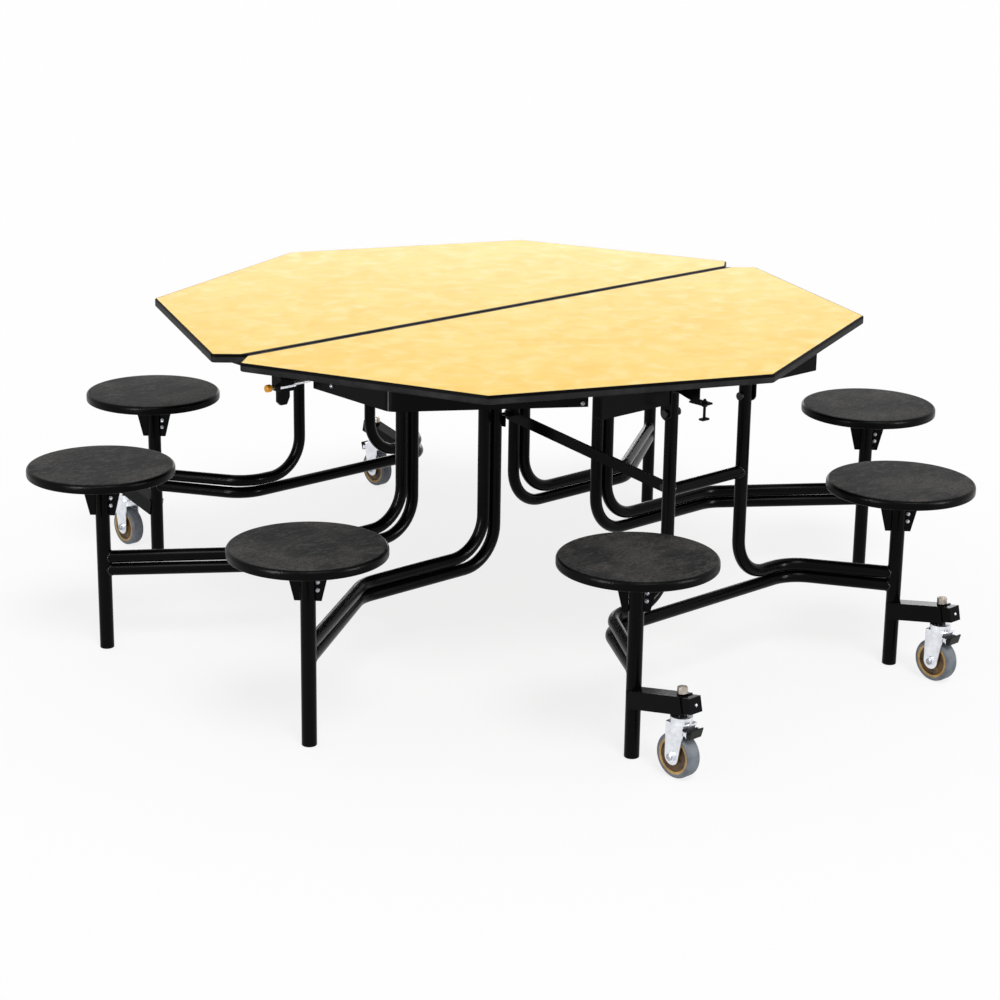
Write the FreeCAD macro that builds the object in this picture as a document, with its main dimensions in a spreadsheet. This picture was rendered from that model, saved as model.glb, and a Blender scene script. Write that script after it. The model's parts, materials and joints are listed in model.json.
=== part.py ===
"""Octagonal folding table with eight attached swivel seats.

Frame: X along the seam between the two table halves, Y across it, Z up, millimetres.
The origin is on the floor below the middle of the table.  The front half is at -Y.
"""
import FreeCAD, Part
import math
import os
import re

import Sketcher
from FreeCAD import Placement, Rotation, Vector

doc = FreeCAD.newDocument("FoldingSeatTable")

# Each row: alias, value, what it sets.  Lengths in millimetres, angles in degrees.
SIZES = [
    ("top_flats", 1524.0, "table top across flats"),
    ("top_height", 736.6, "table surface above the floor"),
    ("board_thick", 19.0, "board thickness"),
    ("edge_band", 4.2, "edge moulding width on the outer sides"),
    ("seam_band", 11.0, "edge moulding width along the seam"),
    ("seam_gap", 4.0, "gap between the two halves"),
    ("seam_clip_run", 77.0, "length cut off the seam at each end"),
    ("seam_clip_depth", 50.0, "depth of the cut corner from the seam line"),
    ("corner_round", 12.0, "plan radius of the table corners"),
    ("edge_round", 3.2, "rounding of the moulding's upper and lower edges"),
    ("tube_dia", 28.6, "frame tube diameter"),
    ("post_dia", 32.0, "seat post diameter"),
    ("bend_radius", 90.0, "centre line radius of the tube bends"),
    ("tube_pitch", 30.0, "height between stacked tubes"),
    ("weld_gap", 0.1, "gap left for weld metal at coped joints"),
    ("lower_run_z", 187.0, "height of the lower horizontal tubes"),
    ("centre_y", 145.0, "centre frame plane from the seam"),
    ("inner_leg_x", 163.0, "inner upright of each twin pair"),
    ("outer_leg_x", 197.0, "outer upright of each twin pair"),
    ("centre_bend_x", 550.0, "bend in the centre frame arms"),
    ("bend_stagger", 8.0, "shift of the lower tube's bend"),
    ("centre_post_x", 880.0, "centre frame seat post, along the seam"),
    ("centre_post_y", 375.0, "centre frame seat post, from the seam"),
    ("centre_top_over", 9.5, "upright top above the centre pivot"),
    ("beam_drop", 96.6, "crossbeam, below the table surface"),
    ("leg_x", 115.0, "upright of the caster frame"),
    ("leg_y", 645.0, "caster frame plane from the seam"),
    ("leg_bend_x", 280.0, "bend in the caster frame arms"),
    ("caster_post_x", 415.0, "caster frame seat post, along the seam"),
    ("caster_post_y", 850.0, "caster frame seat post, from the seam"),
    ("leg_top_over", 45.0, "upright top above the leg pivot"),
    ("rung_z", 465.0, "cross tube height between the caster frame uprights"),
    ("rung_dia", 27.0, "cross tube diameter"),
    ("leg_pin_drop", 99.6, "leg pivot, below the table surface"),
    ("centre_pin_drop", 41.6, "centre pivot, below the table surface"),
    ("seam_pin_drop", 81.6, "seam hinge, below the table surface"),
    ("fold_angle", 82.0, "angle each half turns through when folded"),
    ("pin_dia", 10.0, "pivot pin diameter"),
    ("pin_clear", 0.05, "radial running clearance of pins"),
    ("drill_clear", 0.1, "radial clearance of drilled fixing holes"),
    ("head_dia", 18.0, "pivot pin head diameter"),
    ("head_thick", 5.0, "pivot pin head thickness"),
    ("ear_thick", 4.0, "pivot ear plate thickness"),
    ("ear_width", 30.0, "pivot ear width"),
    ("side_clear", 1.0, "side gap between ear and upright"),
    ("flange_thick", 4.0, "mounting flange thickness under the board"),
    ("flange_long", 39.0, "mounting flange length across an ear"),
    ("rail_x", 620.0, "side rail centre line"),
    ("rail_start_y", 80.0, "side rail end near the seam"),
    ("rail_corner_y", 328.0, "where side and diagonal rail lines meet"),
    ("rail_end_x", 276.0, "diagonal rail end, along the seam"),
    ("rail_end_y", 553.0, "diagonal rail end, from the seam"),
    ("rail_bend", 18.0, "rail corner radius"),
    ("rail_wide", 25.0, "rail width"),
    ("rail_deep", 57.5, "rail depth"),
    ("rail_wall", 3.0, "rail wall thickness"),
    ("stub_end_x", 334.0, "outer end of the stub channel"),
    ("strap_thick", 5.0, "strap between rail and stub channel"),
    ("strap_deep", 30.0, "strap depth"),
    ("seam_hinge_x", 330.0, "seam hinge position along the seam"),
    ("knuckle_dia", 14.0, "seam hinge knuckle diameter"),
    ("knuckle_long", 20.0, "length of one knuckle"),
    ("knuckle_clear", 0.3, "end gap between knuckles"),
    ("hinge_pin_dia", 8.0, "seam hinge pin diameter"),
    ("leaf_thick", 4.0, "hinge leaf thickness"),
    ("leaf_wide", 48.0, "hinge leaf flange width"),
    ("stop_out", 93.0, "stop bolt beyond the caster frame plane"),
    ("stop_near_out", 20.0, "stop bracket, near end beyond the caster frame plane"),
    ("stop_far_out", 88.0, "stop bracket, far end beyond the caster frame plane"),
    ("stop_near_drop", 46.6, "stop bracket lower edge, near end, below the table surface"),
    ("stop_tab_drop", 63.6, "stop bracket tab, below the table surface"),
    ("stop_wide", 27.0, "stop bracket tab width"),
    ("stop_tab_over", 10.0, "stop bracket tab beyond the bolt"),
    ("stop_plate", 4.0, "stop bracket plate thickness"),
    ("stop_bolt_dia", 6.0, "stop bolt diameter"),
    ("stop_foot_wide", 20.0, "stop foot across the table"),
    ("stop_foot_deep", 12.0, "stop foot depth"),
    ("stop_foot_thick", 4.0, "stop foot thickness"),
    ("stop_clear", 0.3, "gap between stop foot and upright when folded"),
    ("brace_deep", 25.0, "brace bar depth"),
    ("brace_thick", 6.0, "brace bar thickness"),
    ("brace_x", 97.0, "brace bar mid plane"),
    ("brace_offset", 28.0, "brace pivots inboard of the upright planes"),
    ("brace_low_z", 462.0, "lower brace pivot height"),
    ("brace_gap", 0.3, "side gap between brace and its lugs"),
    ("open_clear", 0.25, "radial clearance of the brace's upper pivot"),
    ("lug_thick", 4.0, "brace lug thickness"),
    ("stud_dia", 14.0, "brace stud diameter"),
    ("lock_y", 14.0, "lock rod from the seam"),
    ("lock_drop", 78.6, "lock rod, below the table surface"),
    ("lock_rod_dia", 8.0, "lock rod diameter"),
    ("lock_rod_in", 590.0, "inner end of the lock rod"),
    ("lock_rod_out", 696.0, "outer end of the lock rod"),
    ("knob_dia", 19.0, "lock knob diameter"),
    ("knob_long", 18.0, "lock knob length"),
    ("lock_block_in", 650.0, "lock bracket, inner side"),
    ("lock_block_out", 686.0, "lock bracket, outer side"),
    ("lock_block_back", 36.0, "lock bracket, side away from the seam"),
    ("lock_block_gap", 4.0, "lock bracket from the seam line"),
    ("lock_lug_in", 648.0, "lock lug, inner side"),
    ("lock_lug_out", 680.0, "lock lug, outer side"),
    ("lock_lug_drop", 120.6, "lower end of the lock lug, below the table surface"),
    ("lock_lug_thick", 8.0, "lock lug thickness"),
    ("post_top", 404.0, "top of the seat post"),
    ("hub_low_z", 316.0, "lower end of the seat bracket wings"),
    ("hub_mid_z", 370.0, "knee of the seat bracket wings"),
    ("hub_low_r", 28.0, "wing reach at the lower end"),
    ("hub_mid_r", 41.0, "wing reach at the knee"),
    ("hub_top_r", 50.0, "wing reach at the top"),
    ("hub_wing", 5.0, "wing thickness"),
    ("hub_plate", 4.0, "seat bracket top plate thickness"),
    ("spigot_dia", 20.0, "swivel spigot diameter"),
    ("spigot_tall", 14.0, "swivel spigot height"),
    ("seat_dia", 330.0, "seat diameter"),
    ("seat_top", 434.0, "seat surface above the floor"),
    ("seat_crown", 2.5, "rise of the seat's middle"),
    ("seat_flat", 294.0, "diameter of the seat's flat middle"),
    ("seat_rim", 14.0, "seat rim height"),
    ("seat_wall", 5.0, "seat shell thickness"),
    ("seat_round", 8.0, "rounding of the seat's upper edge"),
    ("seat_lip", 3.0, "rounding of the seat's lower edge"),
    ("seat_boss_dia", 56.0, "seat boss diameter"),
    ("swivel_gap", 0.3, "gap under the seat boss"),
    ("arm_wide", 38.0, "caster arm section"),
    ("arm_wall", 3.0, "caster arm wall"),
    ("arm_mid_z", 129.5, "caster arm centre line at the post axis"),
    ("arm_tilt", 12.0, "rise of the caster arm"),
    ("arm_long", 176.0, "caster arm from the post axis to its end"),
    ("plug_wide", 33.0, "caster arm end plug section"),
    ("plug_long", 24.0, "caster arm end plug length"),
    ("stem_out", 135.0, "caster stem axis beyond the seat post's"),
    ("stem_dia", 12.0, "caster stem diameter"),
    ("stem_over", 1.5, "stem end above its nut"),
    ("sleeve_dia", 22.0, "stem sleeve diameter"),
    ("sleeve_low_z", 133.4, "stem sleeve, lower end"),
    ("sleeve_top_z", 181.0, "stem sleeve, upper end"),
    ("nut_wide", 19.0, "stem nut across flats"),
    ("nut_tall", 13.0, "stem nut height"),
    ("wheel_dia", 96.0, "caster wheel diameter"),
    ("wheel_wide", 32.0, "caster wheel width"),
    ("wheel_round", 7.0, "tyre shoulder radius"),
    ("tyre_in_dia", 70.0, "inside diameter of the tyre"),
    ("wheel_dish", 4.0, "depth of the wheel disc below the tyre"),
    ("wheel_hub_dia", 26.0, "wheel hub diameter"),
    ("trail", 5.0, "wheel axis behind the stem"),
    ("axle_dia", 12.0, "wheel axle diameter"),
    ("axle_head", 20.0, "axle head diameter"),
    ("fork_thick", 3.0, "fork plate thickness"),
    ("fork_gap", 1.5, "side gap between wheel and fork"),
    ("fork_foot", 36.0, "fork width at the axle"),
    ("fork_top_wide", 48.0, "fork width at the crown"),
    ("crown_z", 120.0, "top of the fork crown"),
    ("crown_thick", 4.0, "fork crown thickness"),
    ("race_dia", 46.0, "swivel raceway diameter"),
    ("pedal_y", 27.0, "pedal pivot from the stem axis"),
    ("pedal_z", 104.0, "pedal pivot height"),
    ("pedal_knee_y", 46.0, "pedal knee from the stem axis"),
    ("pedal_knee_z", 95.0, "pedal knee height"),
    ("pedal_tip_y", 58.0, "pedal tip from the stem axis"),
    ("pedal_tip_z", 121.0, "pedal tip height"),
    ("pedal_thick", 5.0, "pedal plate thickness"),
    ("pedal_barrel", 12.0, "pedal barrel diameter"),
    ("pedal_pin_dia", 5.0, "pedal pin diameter"),
    ("hook_reach", 22.0, "hook length"),
    ("hook_low_drop", 68.6, "hook underside, below the table surface"),
    ("hook_tall", 19.0, "hook height"),
]

sheet = doc.addObject("Spreadsheet::Sheet", "dims")
for row, (alias, value, note) in enumerate(SIZES, start=1):
    sheet.set("A%d" % row, alias)
    sheet.set("B%d" % row, str(value))
    sheet.set("C%d" % row, note)
    sheet.setAlias("B%d" % row, alias)
doc.recompute()

ALIASES = {alias for alias, value, note in SIZES}
# Heights that follow the table surface, each from its drop in the sheet.
DROPS = ("leg_pin", "centre_pin", "seam_pin", "stop_near", "stop_tab", "lock", "lock_lug", "hook_low",
         "beam")
HEIGHTS = {name + "_z": "(top_height - %s_drop)" % name for name in DROPS}
NODES = []

# Heights and places that several pieces share, as expressions of the sheet.
UNDER = "(top_height - board_thick)"
TUBE_R = "(tube_dia / 2)"
UPPER_Z = "(lower_run_z + tube_pitch)"
RAIL_LOW = "(%s - rail_deep)" % UNDER
EAR_IN = "(leg_x + tube_dia / 2 + side_clear)"
TWIN_MID = "((inner_leg_x + outer_leg_x) / 2)"
BRACE_IN = "(brace_x - brace_thick / 2)"
BRACE_OUT = "(brace_x + brace_thick / 2)"
BRACE_RISE = "(centre_pin_z - leg_pin_z)"
BRACE_LOW_Y = "(leg_y - brace_offset)"
BRACE_TOP_Y = "(centre_y - brace_offset)"
BRACE_TOP_Z = "(brace_low_z + %s)" % BRACE_RISE
STOP_Y = "(leg_y + stop_out)"
STOP_NEAR_Y = "(leg_y + stop_near_out)"
STOP_FAR_Y = "(leg_y + stop_far_out)"
STOP_Z = ("(leg_pin_z + (tube_dia / 2 + stop_clear - (stop_out - stop_foot_deep / 2)"
          " * cos(fold_angle)) / sin(fold_angle))")
STEM_Y = "(caster_post_y + stem_out)"
FORK_IN = "(wheel_wide / 2 + fork_gap)"
FORK_OUT = "(wheel_wide / 2 + fork_gap + fork_thick)"


def spelled_out(expression, prefix=""):
    """The expression in the sheet's own aliases, each after the prefix."""
    def link(match):
        word = match.group(0)
        if word in HEIGHTS:
            return spelled_out(HEIGHTS[word], prefix)
        return prefix + word if word in ALIASES else word
    return re.sub(r"[a-z][a-z_0-9]*", link, expression)


def bound(expression):
    """The expression with every alias made a reference to the sheet."""
    return spelled_out(expression, "dims.")


def number(expression):
    """The present value of an expression."""
    return float(sheet.evalExpression(spelled_out(expression)))


def point(x, y, z):
    return Vector(number(x), number(y), number(z))


def bind(obj, path, expression):
    obj.setExpression(path, bound(expression))


def place(obj, x="0", y="0", z="0", turn=0):
    """Put obj at x, y, z after turning it about the vertical."""
    obj.Placement = Placement(Vector(0, 0, 0), Rotation(Vector(0, 0, 1), turn))
    for axis, expression in zip("xyz", (x, y, z)):
        bind(obj, ".Placement.Base." + axis, expression)


# ---------------------------------------------------------------- primitives

def box(name, low, size):
    obj = doc.addObject("Part::Box", name)
    for side, expression in zip(("Length", "Width", "Height"), size):
        bind(obj, side, expression)
    place(obj, *low)
    return obj


def cylinder(name, dia, length, at, axis="Z"):
    obj = doc.addObject("Part::Cylinder", name)
    bind(obj, "Radius", "(%s) / 2" % dia)
    bind(obj, "Height", length)
    turns = {"X": Rotation(Vector(0, 1, 0), 90), "Y": Rotation(Vector(1, 0, 0), -90), "Z": Rotation()}
    obj.Placement = Placement(Vector(0, 0, 0), turns[axis])
    for letter, expression in zip("xyz", at):
        bind(obj, ".Placement.Base." + letter, expression)
    return obj


def hexagon(name, flats, length, at):
    obj = doc.addObject("Part::Prism", name)
    obj.Polygon = 6
    bind(obj, "Circumradius", "%s / 2 / cos(30)" % flats)
    bind(obj, "Height", length)
    place(obj, *at)
    return obj


def cut(name, base, tool):
    obj = doc.addObject("Part::Cut", name)
    obj.Base = base
    obj.Tool = tool
    return obj


def fuse(name, pieces):
    obj = doc.addObject("Part::MultiFuse", name)
    obj.Shapes = pieces
    return obj


def mirror(name, source, normal):
    obj = doc.addObject("Part::Mirroring", name)
    obj.Source = source
    obj.Normal = normal
    return obj


ACROSS = Vector(1, 0, 0)
FRONT_BACK = Vector(0, 1, 0)


def both_sides(name, piece):
    """The piece and its mirror image across the table's middle."""
    return [piece, mirror(name + "_mirror", piece, ACROSS)]


def node(label, pieces):
    """Name a sub-part; several pieces stay separate solids of one group."""
    if len(pieces) == 1:
        obj = pieces[0]
    else:
        obj = doc.addObject("Part::Compound", label + "_group")
        obj.Links = pieces
    obj.Label = label
    NODES.append(obj)
    return obj


def node_back(label, front, turned=False):
    """The same sub-part on the back half, mirrored or turned half round."""
    obj = mirror(label + "_copy", front, FRONT_BACK)
    if turned:
        obj = mirror(label + "_turned", obj, ACROSS)
    return node(label, [obj])


# ------------------------------------------------------------ sketched bodies

def new_body(name):
    return doc.addObject("PartDesign::Body", name)


def new_sketch(body, plane, offset="0"):
    sketch = body.newObject("Sketcher::SketchObject", body.Name + "_sketch")
    support = [f for f in body.Origin.OriginFeatures if f.Role == plane + "_Plane"][0]
    sketch.AttachmentSupport = [(support, "")]
    sketch.MapMode = "FlatFace"
    bind(sketch, ".AttachmentOffset.Base.z", offset)
    return sketch


def tie(sketch, kind, geometry, end, expression):
    """Fix one coordinate of a sketch point to an expression."""
    value = number(expression)
    if abs(value) < 1e-9:
        sketch.addConstraint(Sketcher.Constraint("PointOnObject", geometry, end,
                                                 -2 if kind == "DistanceX" else -1))
        return
    index = sketch.addConstraint(Sketcher.Constraint(kind, -1, 1, geometry, end, value))
    sketch.setExpression("Constraints[%d]" % index, bound(expression))


def outline(sketch, corners, arcs=()):
    """A closed outline; arcs maps a side's number to (radius, bulge side)."""
    arcs = dict(arcs)
    spots = [Vector(number(x), number(y), 0) for x, y in corners]
    first = sketch.GeometryCount
    count = len(corners)
    ends = []
    for i, start in enumerate(spots):
        stop = spots[(i + 1) % count]
        if i in arcs:
            radius, side = arcs[i]
            sketch.addGeometry(bulge(start, stop, number(radius), side))
            ends.append((2, 1) if side > 0 else (1, 2))
        else:
            sketch.addGeometry(Part.LineSegment(start, stop))
            ends.append((1, 2))
    for i in range(count):
        following = (i + 1) % count
        sketch.addConstraint(Sketcher.Constraint("Coincident", first + i, ends[i][1],
                                                 first + following, ends[following][0]))
    for i, (x, y) in enumerate(corners):
        tie(sketch, "DistanceX", first + i, ends[i][0], x)
        tie(sketch, "DistanceY", first + i, ends[i][0], y)
    for i, (radius, side) in arcs.items():
        index = sketch.addConstraint(Sketcher.Constraint("Radius", first + i, number(radius)))
        sketch.setExpression("Constraints[%d]" % index, bound(radius))


def bulge(start, stop, radius, side):
    """The shorter arc between two spots, bulging to the left (1) or right (-1) of the way there."""
    chord = stop - start
    half = chord.Length / 2
    inward = Vector(-chord.y, chord.x, 0).normalize() * -side
    centre = (start + stop) * 0.5 + inward * math.sqrt(max(radius * radius - half * half, 0.0))
    angles = [math.atan2(spot.y - centre.y, spot.x - centre.x) for spot in (start, stop)]
    if side > 0:
        angles.reverse()
    return Part.ArcOfCircle(Part.Circle(centre, Vector(0, 0, 1), radius), *angles)


def circle(sketch, x, y, dia):
    index = sketch.GeometryCount
    sketch.addGeometry(Part.Circle(Vector(number(x), number(y), 0), Vector(0, 0, 1),
                                   number(dia) / 2))
    tie(sketch, "DistanceX", index, 3, x)
    tie(sketch, "DistanceY", index, 3, y)
    place_in = sketch.addConstraint(Sketcher.Constraint("Diameter", index, number(dia)))
    sketch.setExpression("Constraints[%d]" % place_in, bound(dia))


def pad(body, sketch, length, backwards=False):
    feature = body.newObject("PartDesign::Pad", body.Name + "_pad")
    feature.Profile = sketch
    bind(feature, "Length", length)
    feature.Reversed = backwards
    return feature


def pocket(body, sketch, length, backwards=False):
    feature = body.newObject("PartDesign::Pocket", body.Name + "_pocket")
    feature.Profile = sketch
    bind(feature, "Length", length)
    feature.Reversed = backwards
    return feature


def revolve(body, sketch):
    feature = body.newObject("PartDesign::Revolution", body.Name + "_turn")
    feature.Profile = sketch
    feature.ReferenceAxis = (sketch, ["V_Axis"])
    feature.Angle = 360
    return feature


def fillet(body, base, radius, wanted):
    """Round the edges of base for which wanted(edge) is true."""
    doc.recompute()
    names = ["Edge%d" % (i + 1) for i, edge in enumerate(base.Shape.Edges) if wanted(edge)]
    feature = body.newObject("PartDesign::Fillet", body.Name + "_round")
    feature.Base = (base, names)
    bind(feature, "Radius", radius)
    return feature


def plate(name, plane, offset, thick, corners, holes=(), arcs=()):
    """A flat plate: outline on a plane, thickness along the plane's normal, round holes."""
    body = new_body(name)
    sketch = new_sketch(body, plane, offset)
    outline(sketch, corners, arcs)
    for x, y, dia in holes:
        circle(sketch, x, y, dia)
    pad(body, sketch, thick)
    return body


# ------------------------------------------------------------------ bent tubes

def bent_wire(corners, radius):
    """Straight runs joined by tangent arcs of one radius."""
    edges = []
    start = corners[0]
    for before, corner, after in zip(corners, corners[1:], corners[2:]):
        arriving = (corner - before).normalize()
        leaving = (after - corner).normalize()
        half = arriving.getAngle(leaving) / 2
        enter = corner - arriving * (radius * math.tan(half))
        leave = corner + leaving * (radius * math.tan(half))
        inward = (leaving - arriving).normalize()
        middle = corner + inward * (radius / math.cos(half) - radius)
        edges.append(Part.LineSegment(start, enter).toShape())
        edges.append(Part.Arc(enter, middle, leave).toShape())
        start = leave
    edges.append(Part.LineSegment(start, corners[-1]).toShape())
    return Part.Wire(edges)


def bent_tube(name, corners, dia="tube_dia"):
    """A tube bent round the corners, drawn as the closed outer form."""
    spots = [point(*corner) for corner in corners]
    wire = bent_wire(spots, number("bend_radius"))
    ring = Part.makeCircle(number(dia) / 2, spots[0], spots[1] - spots[0])
    obj = doc.addObject("Part::Feature", name)
    obj.Shape = wire.makePipe(Part.Face(Part.Wire(ring)))
    return obj


def coped(name, tube, cutters):
    """Cut a tube's end to the round of what it is welded to, and drill it."""
    return cut(name, tube, cutters[0] if len(cutters) == 1 else fuse(name + "_cutters", cutters))


def post_cutter(name, x, y):
    return cylinder(name, "post_dia + 2 * weld_gap", "post_top", (x, y, "0"))


def pin_drill(name, x, y, z):
    return cylinder(name, "pin_dia + 2 * drill_clear", "2 * tube_dia", ("%s - tube_dia" % x, y, z), "X")


# ------------------------------------------------------------------- table top

def half_outline(inset):
    """Corners of one half of the octagon in plan, moved inwards by inset from its sides."""
    flats = "(top_flats / 2 - %s)" % inset
    reach = "(%s / cos(22.5))" % flats
    tan = "tan(22.5)"
    if inset == "0":
        seam = "(seam_gap / 2)"
        depth = "seam_clip_depth"
    else:
        seam = "(seam_gap / 2 + seam_band)"
    clip_start = "(top_flats / 2 / cos(22.5) - seam_clip_run)"
    clip_end = "(top_flats / 2 / cos(22.5) - seam_clip_depth * %s)" % tan
    slope = "((%s - %s) / (seam_clip_depth - seam_gap / 2))" % (clip_end, clip_start)
    shift = "(%s * sqrt(1 + %s * %s))" % (inset, slope, slope)
    near = "(%s + (%s - seam_gap / 2) * %s - %s)" % (clip_start, seam, slope, shift)
    if inset != "0":
        depth = "((%s - %s + seam_gap / 2 * %s + %s) / (%s + %s))" % (
            reach, clip_start, slope, shift, slope, tan)
    far = "(%s - %s * %s)" % (reach, depth, tan)
    corner = "(%s * cos(45))" % reach
    return [(near, "-" + seam), (far, "-" + depth), (corner, "-" + corner), ("0", "-" + reach),
            ("-" + corner, "-" + corner), ("-" + far, "-" + depth), ("-" + near, "-" + seam)]


def upright_corner(edge):
    box_ = edge.BoundBox
    return box_.ZLength > 1 and box_.XLength < 1e-6 and box_.YLength < 1e-6


def make_board():
    body = new_body("front_board")
    sketch = new_sketch(body, "XY", UNDER)
    outline(sketch, half_outline("edge_band"))
    pad(body, sketch, "board_thick")
    return body


def make_edge():
    body = new_body("front_moulding")
    sketch = new_sketch(body, "XY", UNDER)
    outline(sketch, half_outline("0"))
    block = pad(body, sketch, "board_thick")
    smooth = fillet(body, block, "corner_round", upright_corner)
    limit = number("seam_gap") / 2 + 1e-3
    heights = (number(UNDER), number("top_height"))

    def rim(edge):
        spread = edge.BoundBox
        level = any(abs(spread.ZMin - z) < 1e-6 and spread.ZLength < 1e-6 for z in heights)
        return level and spread.YMin < -limit
    rounded = fillet(body, smooth, "edge_round", rim)
    hollow = new_sketch(body, "XY", UNDER)
    outline(hollow, half_outline("edge_band"))
    pocket(body, hollow, "board_thick", backwards=True)
    return body, rounded


# ------------------------------------------------------------- half under-frame

def rail_outline(inner, outer):
    """Plan of a strip along the side rail's centre line, between two offsets from it."""
    length = "sqrt((rail_x - rail_end_x) ^ 2 + (rail_end_y - rail_corner_y) ^ 2)"
    over = "((rail_x - rail_end_x) / %s)" % length
    down = "((rail_end_y - rail_corner_y) / %s)" % length
    bend_y = "(rail_bend * %s / (1 + %s) - rail_corner_y)" % (over, down)
    bend_x = "(rail_x - rail_bend)"

    def side(offset):
        reach = "(rail_bend + %s)" % offset
        return [("rail_x + " + offset, "-rail_start_y"), ("rail_x + " + offset, bend_y),
                ("%s + %s * %s" % (bend_x, reach, down), "%s - %s * %s" % (bend_y, reach, over)),
                ("rail_end_x + %s * %s" % (offset, down), "-rail_end_y - %s * %s" % (offset, over))]
    return side(outer) + side(inner)[::-1]


def make_side_rail():
    """Channel that follows the table side, turns and runs in along the diagonal."""
    body = new_body("front_side_rail")
    inner = "(-rail_wide / 2)"
    outer = "(rail_wide / 2)"
    sketch = new_sketch(body, "XY", RAIL_LOW)
    outline(sketch, rail_outline(inner, outer),
            {1: ("rail_bend + rail_wide / 2", 1), 5: ("rail_bend - rail_wide / 2", -1)})
    pad(body, sketch, "rail_deep")
    floor = "(rail_wide / 2 - rail_wall)"
    hollow = new_sketch(body, "XY", "%s + rail_wall" % RAIL_LOW)
    outline(hollow, rail_outline("(-rail_wide / 2 - rail_wall)", floor),
            {1: ("rail_bend + " + floor, 1), 5: ("rail_bend - rail_wide / 2 - rail_wall", -1)})
    pocket(body, hollow, "rail_deep - 2 * rail_wall", backwards=True)
    return body


def channel_section(middle, open_side):
    """Channel with its open side towards smaller (-) or larger (+) first coordinate."""
    other = "+" if open_side == "-" else "-"
    mouth = "%s %s rail_wide / 2" % (middle, open_side)
    back = "%s %s rail_wide / 2" % (middle, other)
    floor = "%s %s rail_wide / 2 %s rail_wall" % (middle, other, open_side)
    low = RAIL_LOW
    high = UNDER
    return [(mouth, low), (back, low), (back, high), (mouth, high), (mouth, high + " - rail_wall"),
            (floor, high + " - rail_wall"), (floor, low + " + rail_wall"), (mouth, low + " + rail_wall")]


def make_stub_channel():
    body = new_body("front_stub_channel")
    sketch = new_sketch(body, "YZ", "%s + ear_thick" % EAR_IN)
    outline(sketch, channel_section("-leg_y", "+"))
    pad(body, sketch, "stub_end_x - %s - ear_thick" % EAR_IN)
    return body


def make_strap():
    """Flat strap that ties the diagonal rail to the stub channel."""
    start_x = "rail_end_x - rail_wide / 2"
    start_y = "-(rail_end_y - strap_thick)"
    end_y = "-(leg_y - rail_wide / 2)"
    corners = [(start_x, start_y), (start_x + " + rail_wide", start_y),
               (start_x + " + rail_wide", end_y), (start_x, end_y)]
    return plate("front_strap", "XY", "%s - strap_deep" % UNDER, "strap_deep", corners)


def make_lock_bracket():
    """Guide block of the lock rod on its mounting plate, with a lug that hangs below the rod."""
    block = box("lock_block", ("-lock_block_out", "-lock_block_back", "lock_z - lock_rod_dia"),
                ("lock_block_out - lock_block_in", "lock_block_back - lock_block_gap",
                 "%s - lock_z + lock_rod_dia" % UNDER))
    mount = box("lock_mount", ("-lock_block_out", "-rail_start_y", "%s - flange_thick" % UNDER),
                ("lock_block_out - rail_x + rail_wide / 2", "rail_start_y - lock_block_gap", "flange_thick"))
    lug = plate("lock_lug", "XZ", "lock_y - lock_lug_thick / 2", "lock_lug_thick",
                [("-lock_lug_out", "lock_z"), ("-lock_lug_out", "lock_lug_z + lock_lug_thick"),
                 ("-lock_lug_out + lock_lug_thick", "lock_lug_z"),
                 ("-lock_lug_in - lock_lug_thick", "lock_lug_z"),
                 ("-lock_lug_in", "lock_lug_z + 2 * lock_lug_thick"), ("-lock_lug_in", "lock_z")])
    bore = cylinder("lock_bore", "lock_rod_dia + 2 * pin_clear", "lock_rod_out",
                    ("-lock_rod_out", "-lock_y", "lock_z"), "X")
    return cut("lock_bracket", fuse("lock_solid", [block, mount, lug]), bore)


def ear_outline(middle, pin_z, width):
    """Ear with a round lower end below the pivot, hanging from the board."""
    left = "%s - %s / 2" % (middle, width)
    right = "%s + %s / 2" % (middle, width)
    return [(left, pin_z), (right, pin_z), (right, UNDER), (left, UNDER)]


def make_ear(name, x, middle, pin_z, width, flange_x, flange_wide):
    """Hanging ear with its pivot hole and a flange under the board."""
    body = new_body(name)
    sketch = new_sketch(body, "YZ", x)
    radius = "%s / 2" % width
    outline(sketch, ear_outline(middle, pin_z, width), {0: (radius + " + 0.001", -1)})
    circle(sketch, middle, pin_z, "pin_dia + 2 * pin_clear")
    pad(body, sketch, "ear_thick")
    flange = new_sketch(body, "XY", "%s - flange_thick" % UNDER)
    near = "%s - flange_long / 2" % middle
    far = "%s + flange_long / 2" % middle
    outline(flange, [(flange_x, near), (flange_x + " + " + flange_wide, near),
                     (flange_x + " + " + flange_wide, far), (flange_x, far)])
    pad(body, flange, "flange_thick")
    return body


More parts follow.
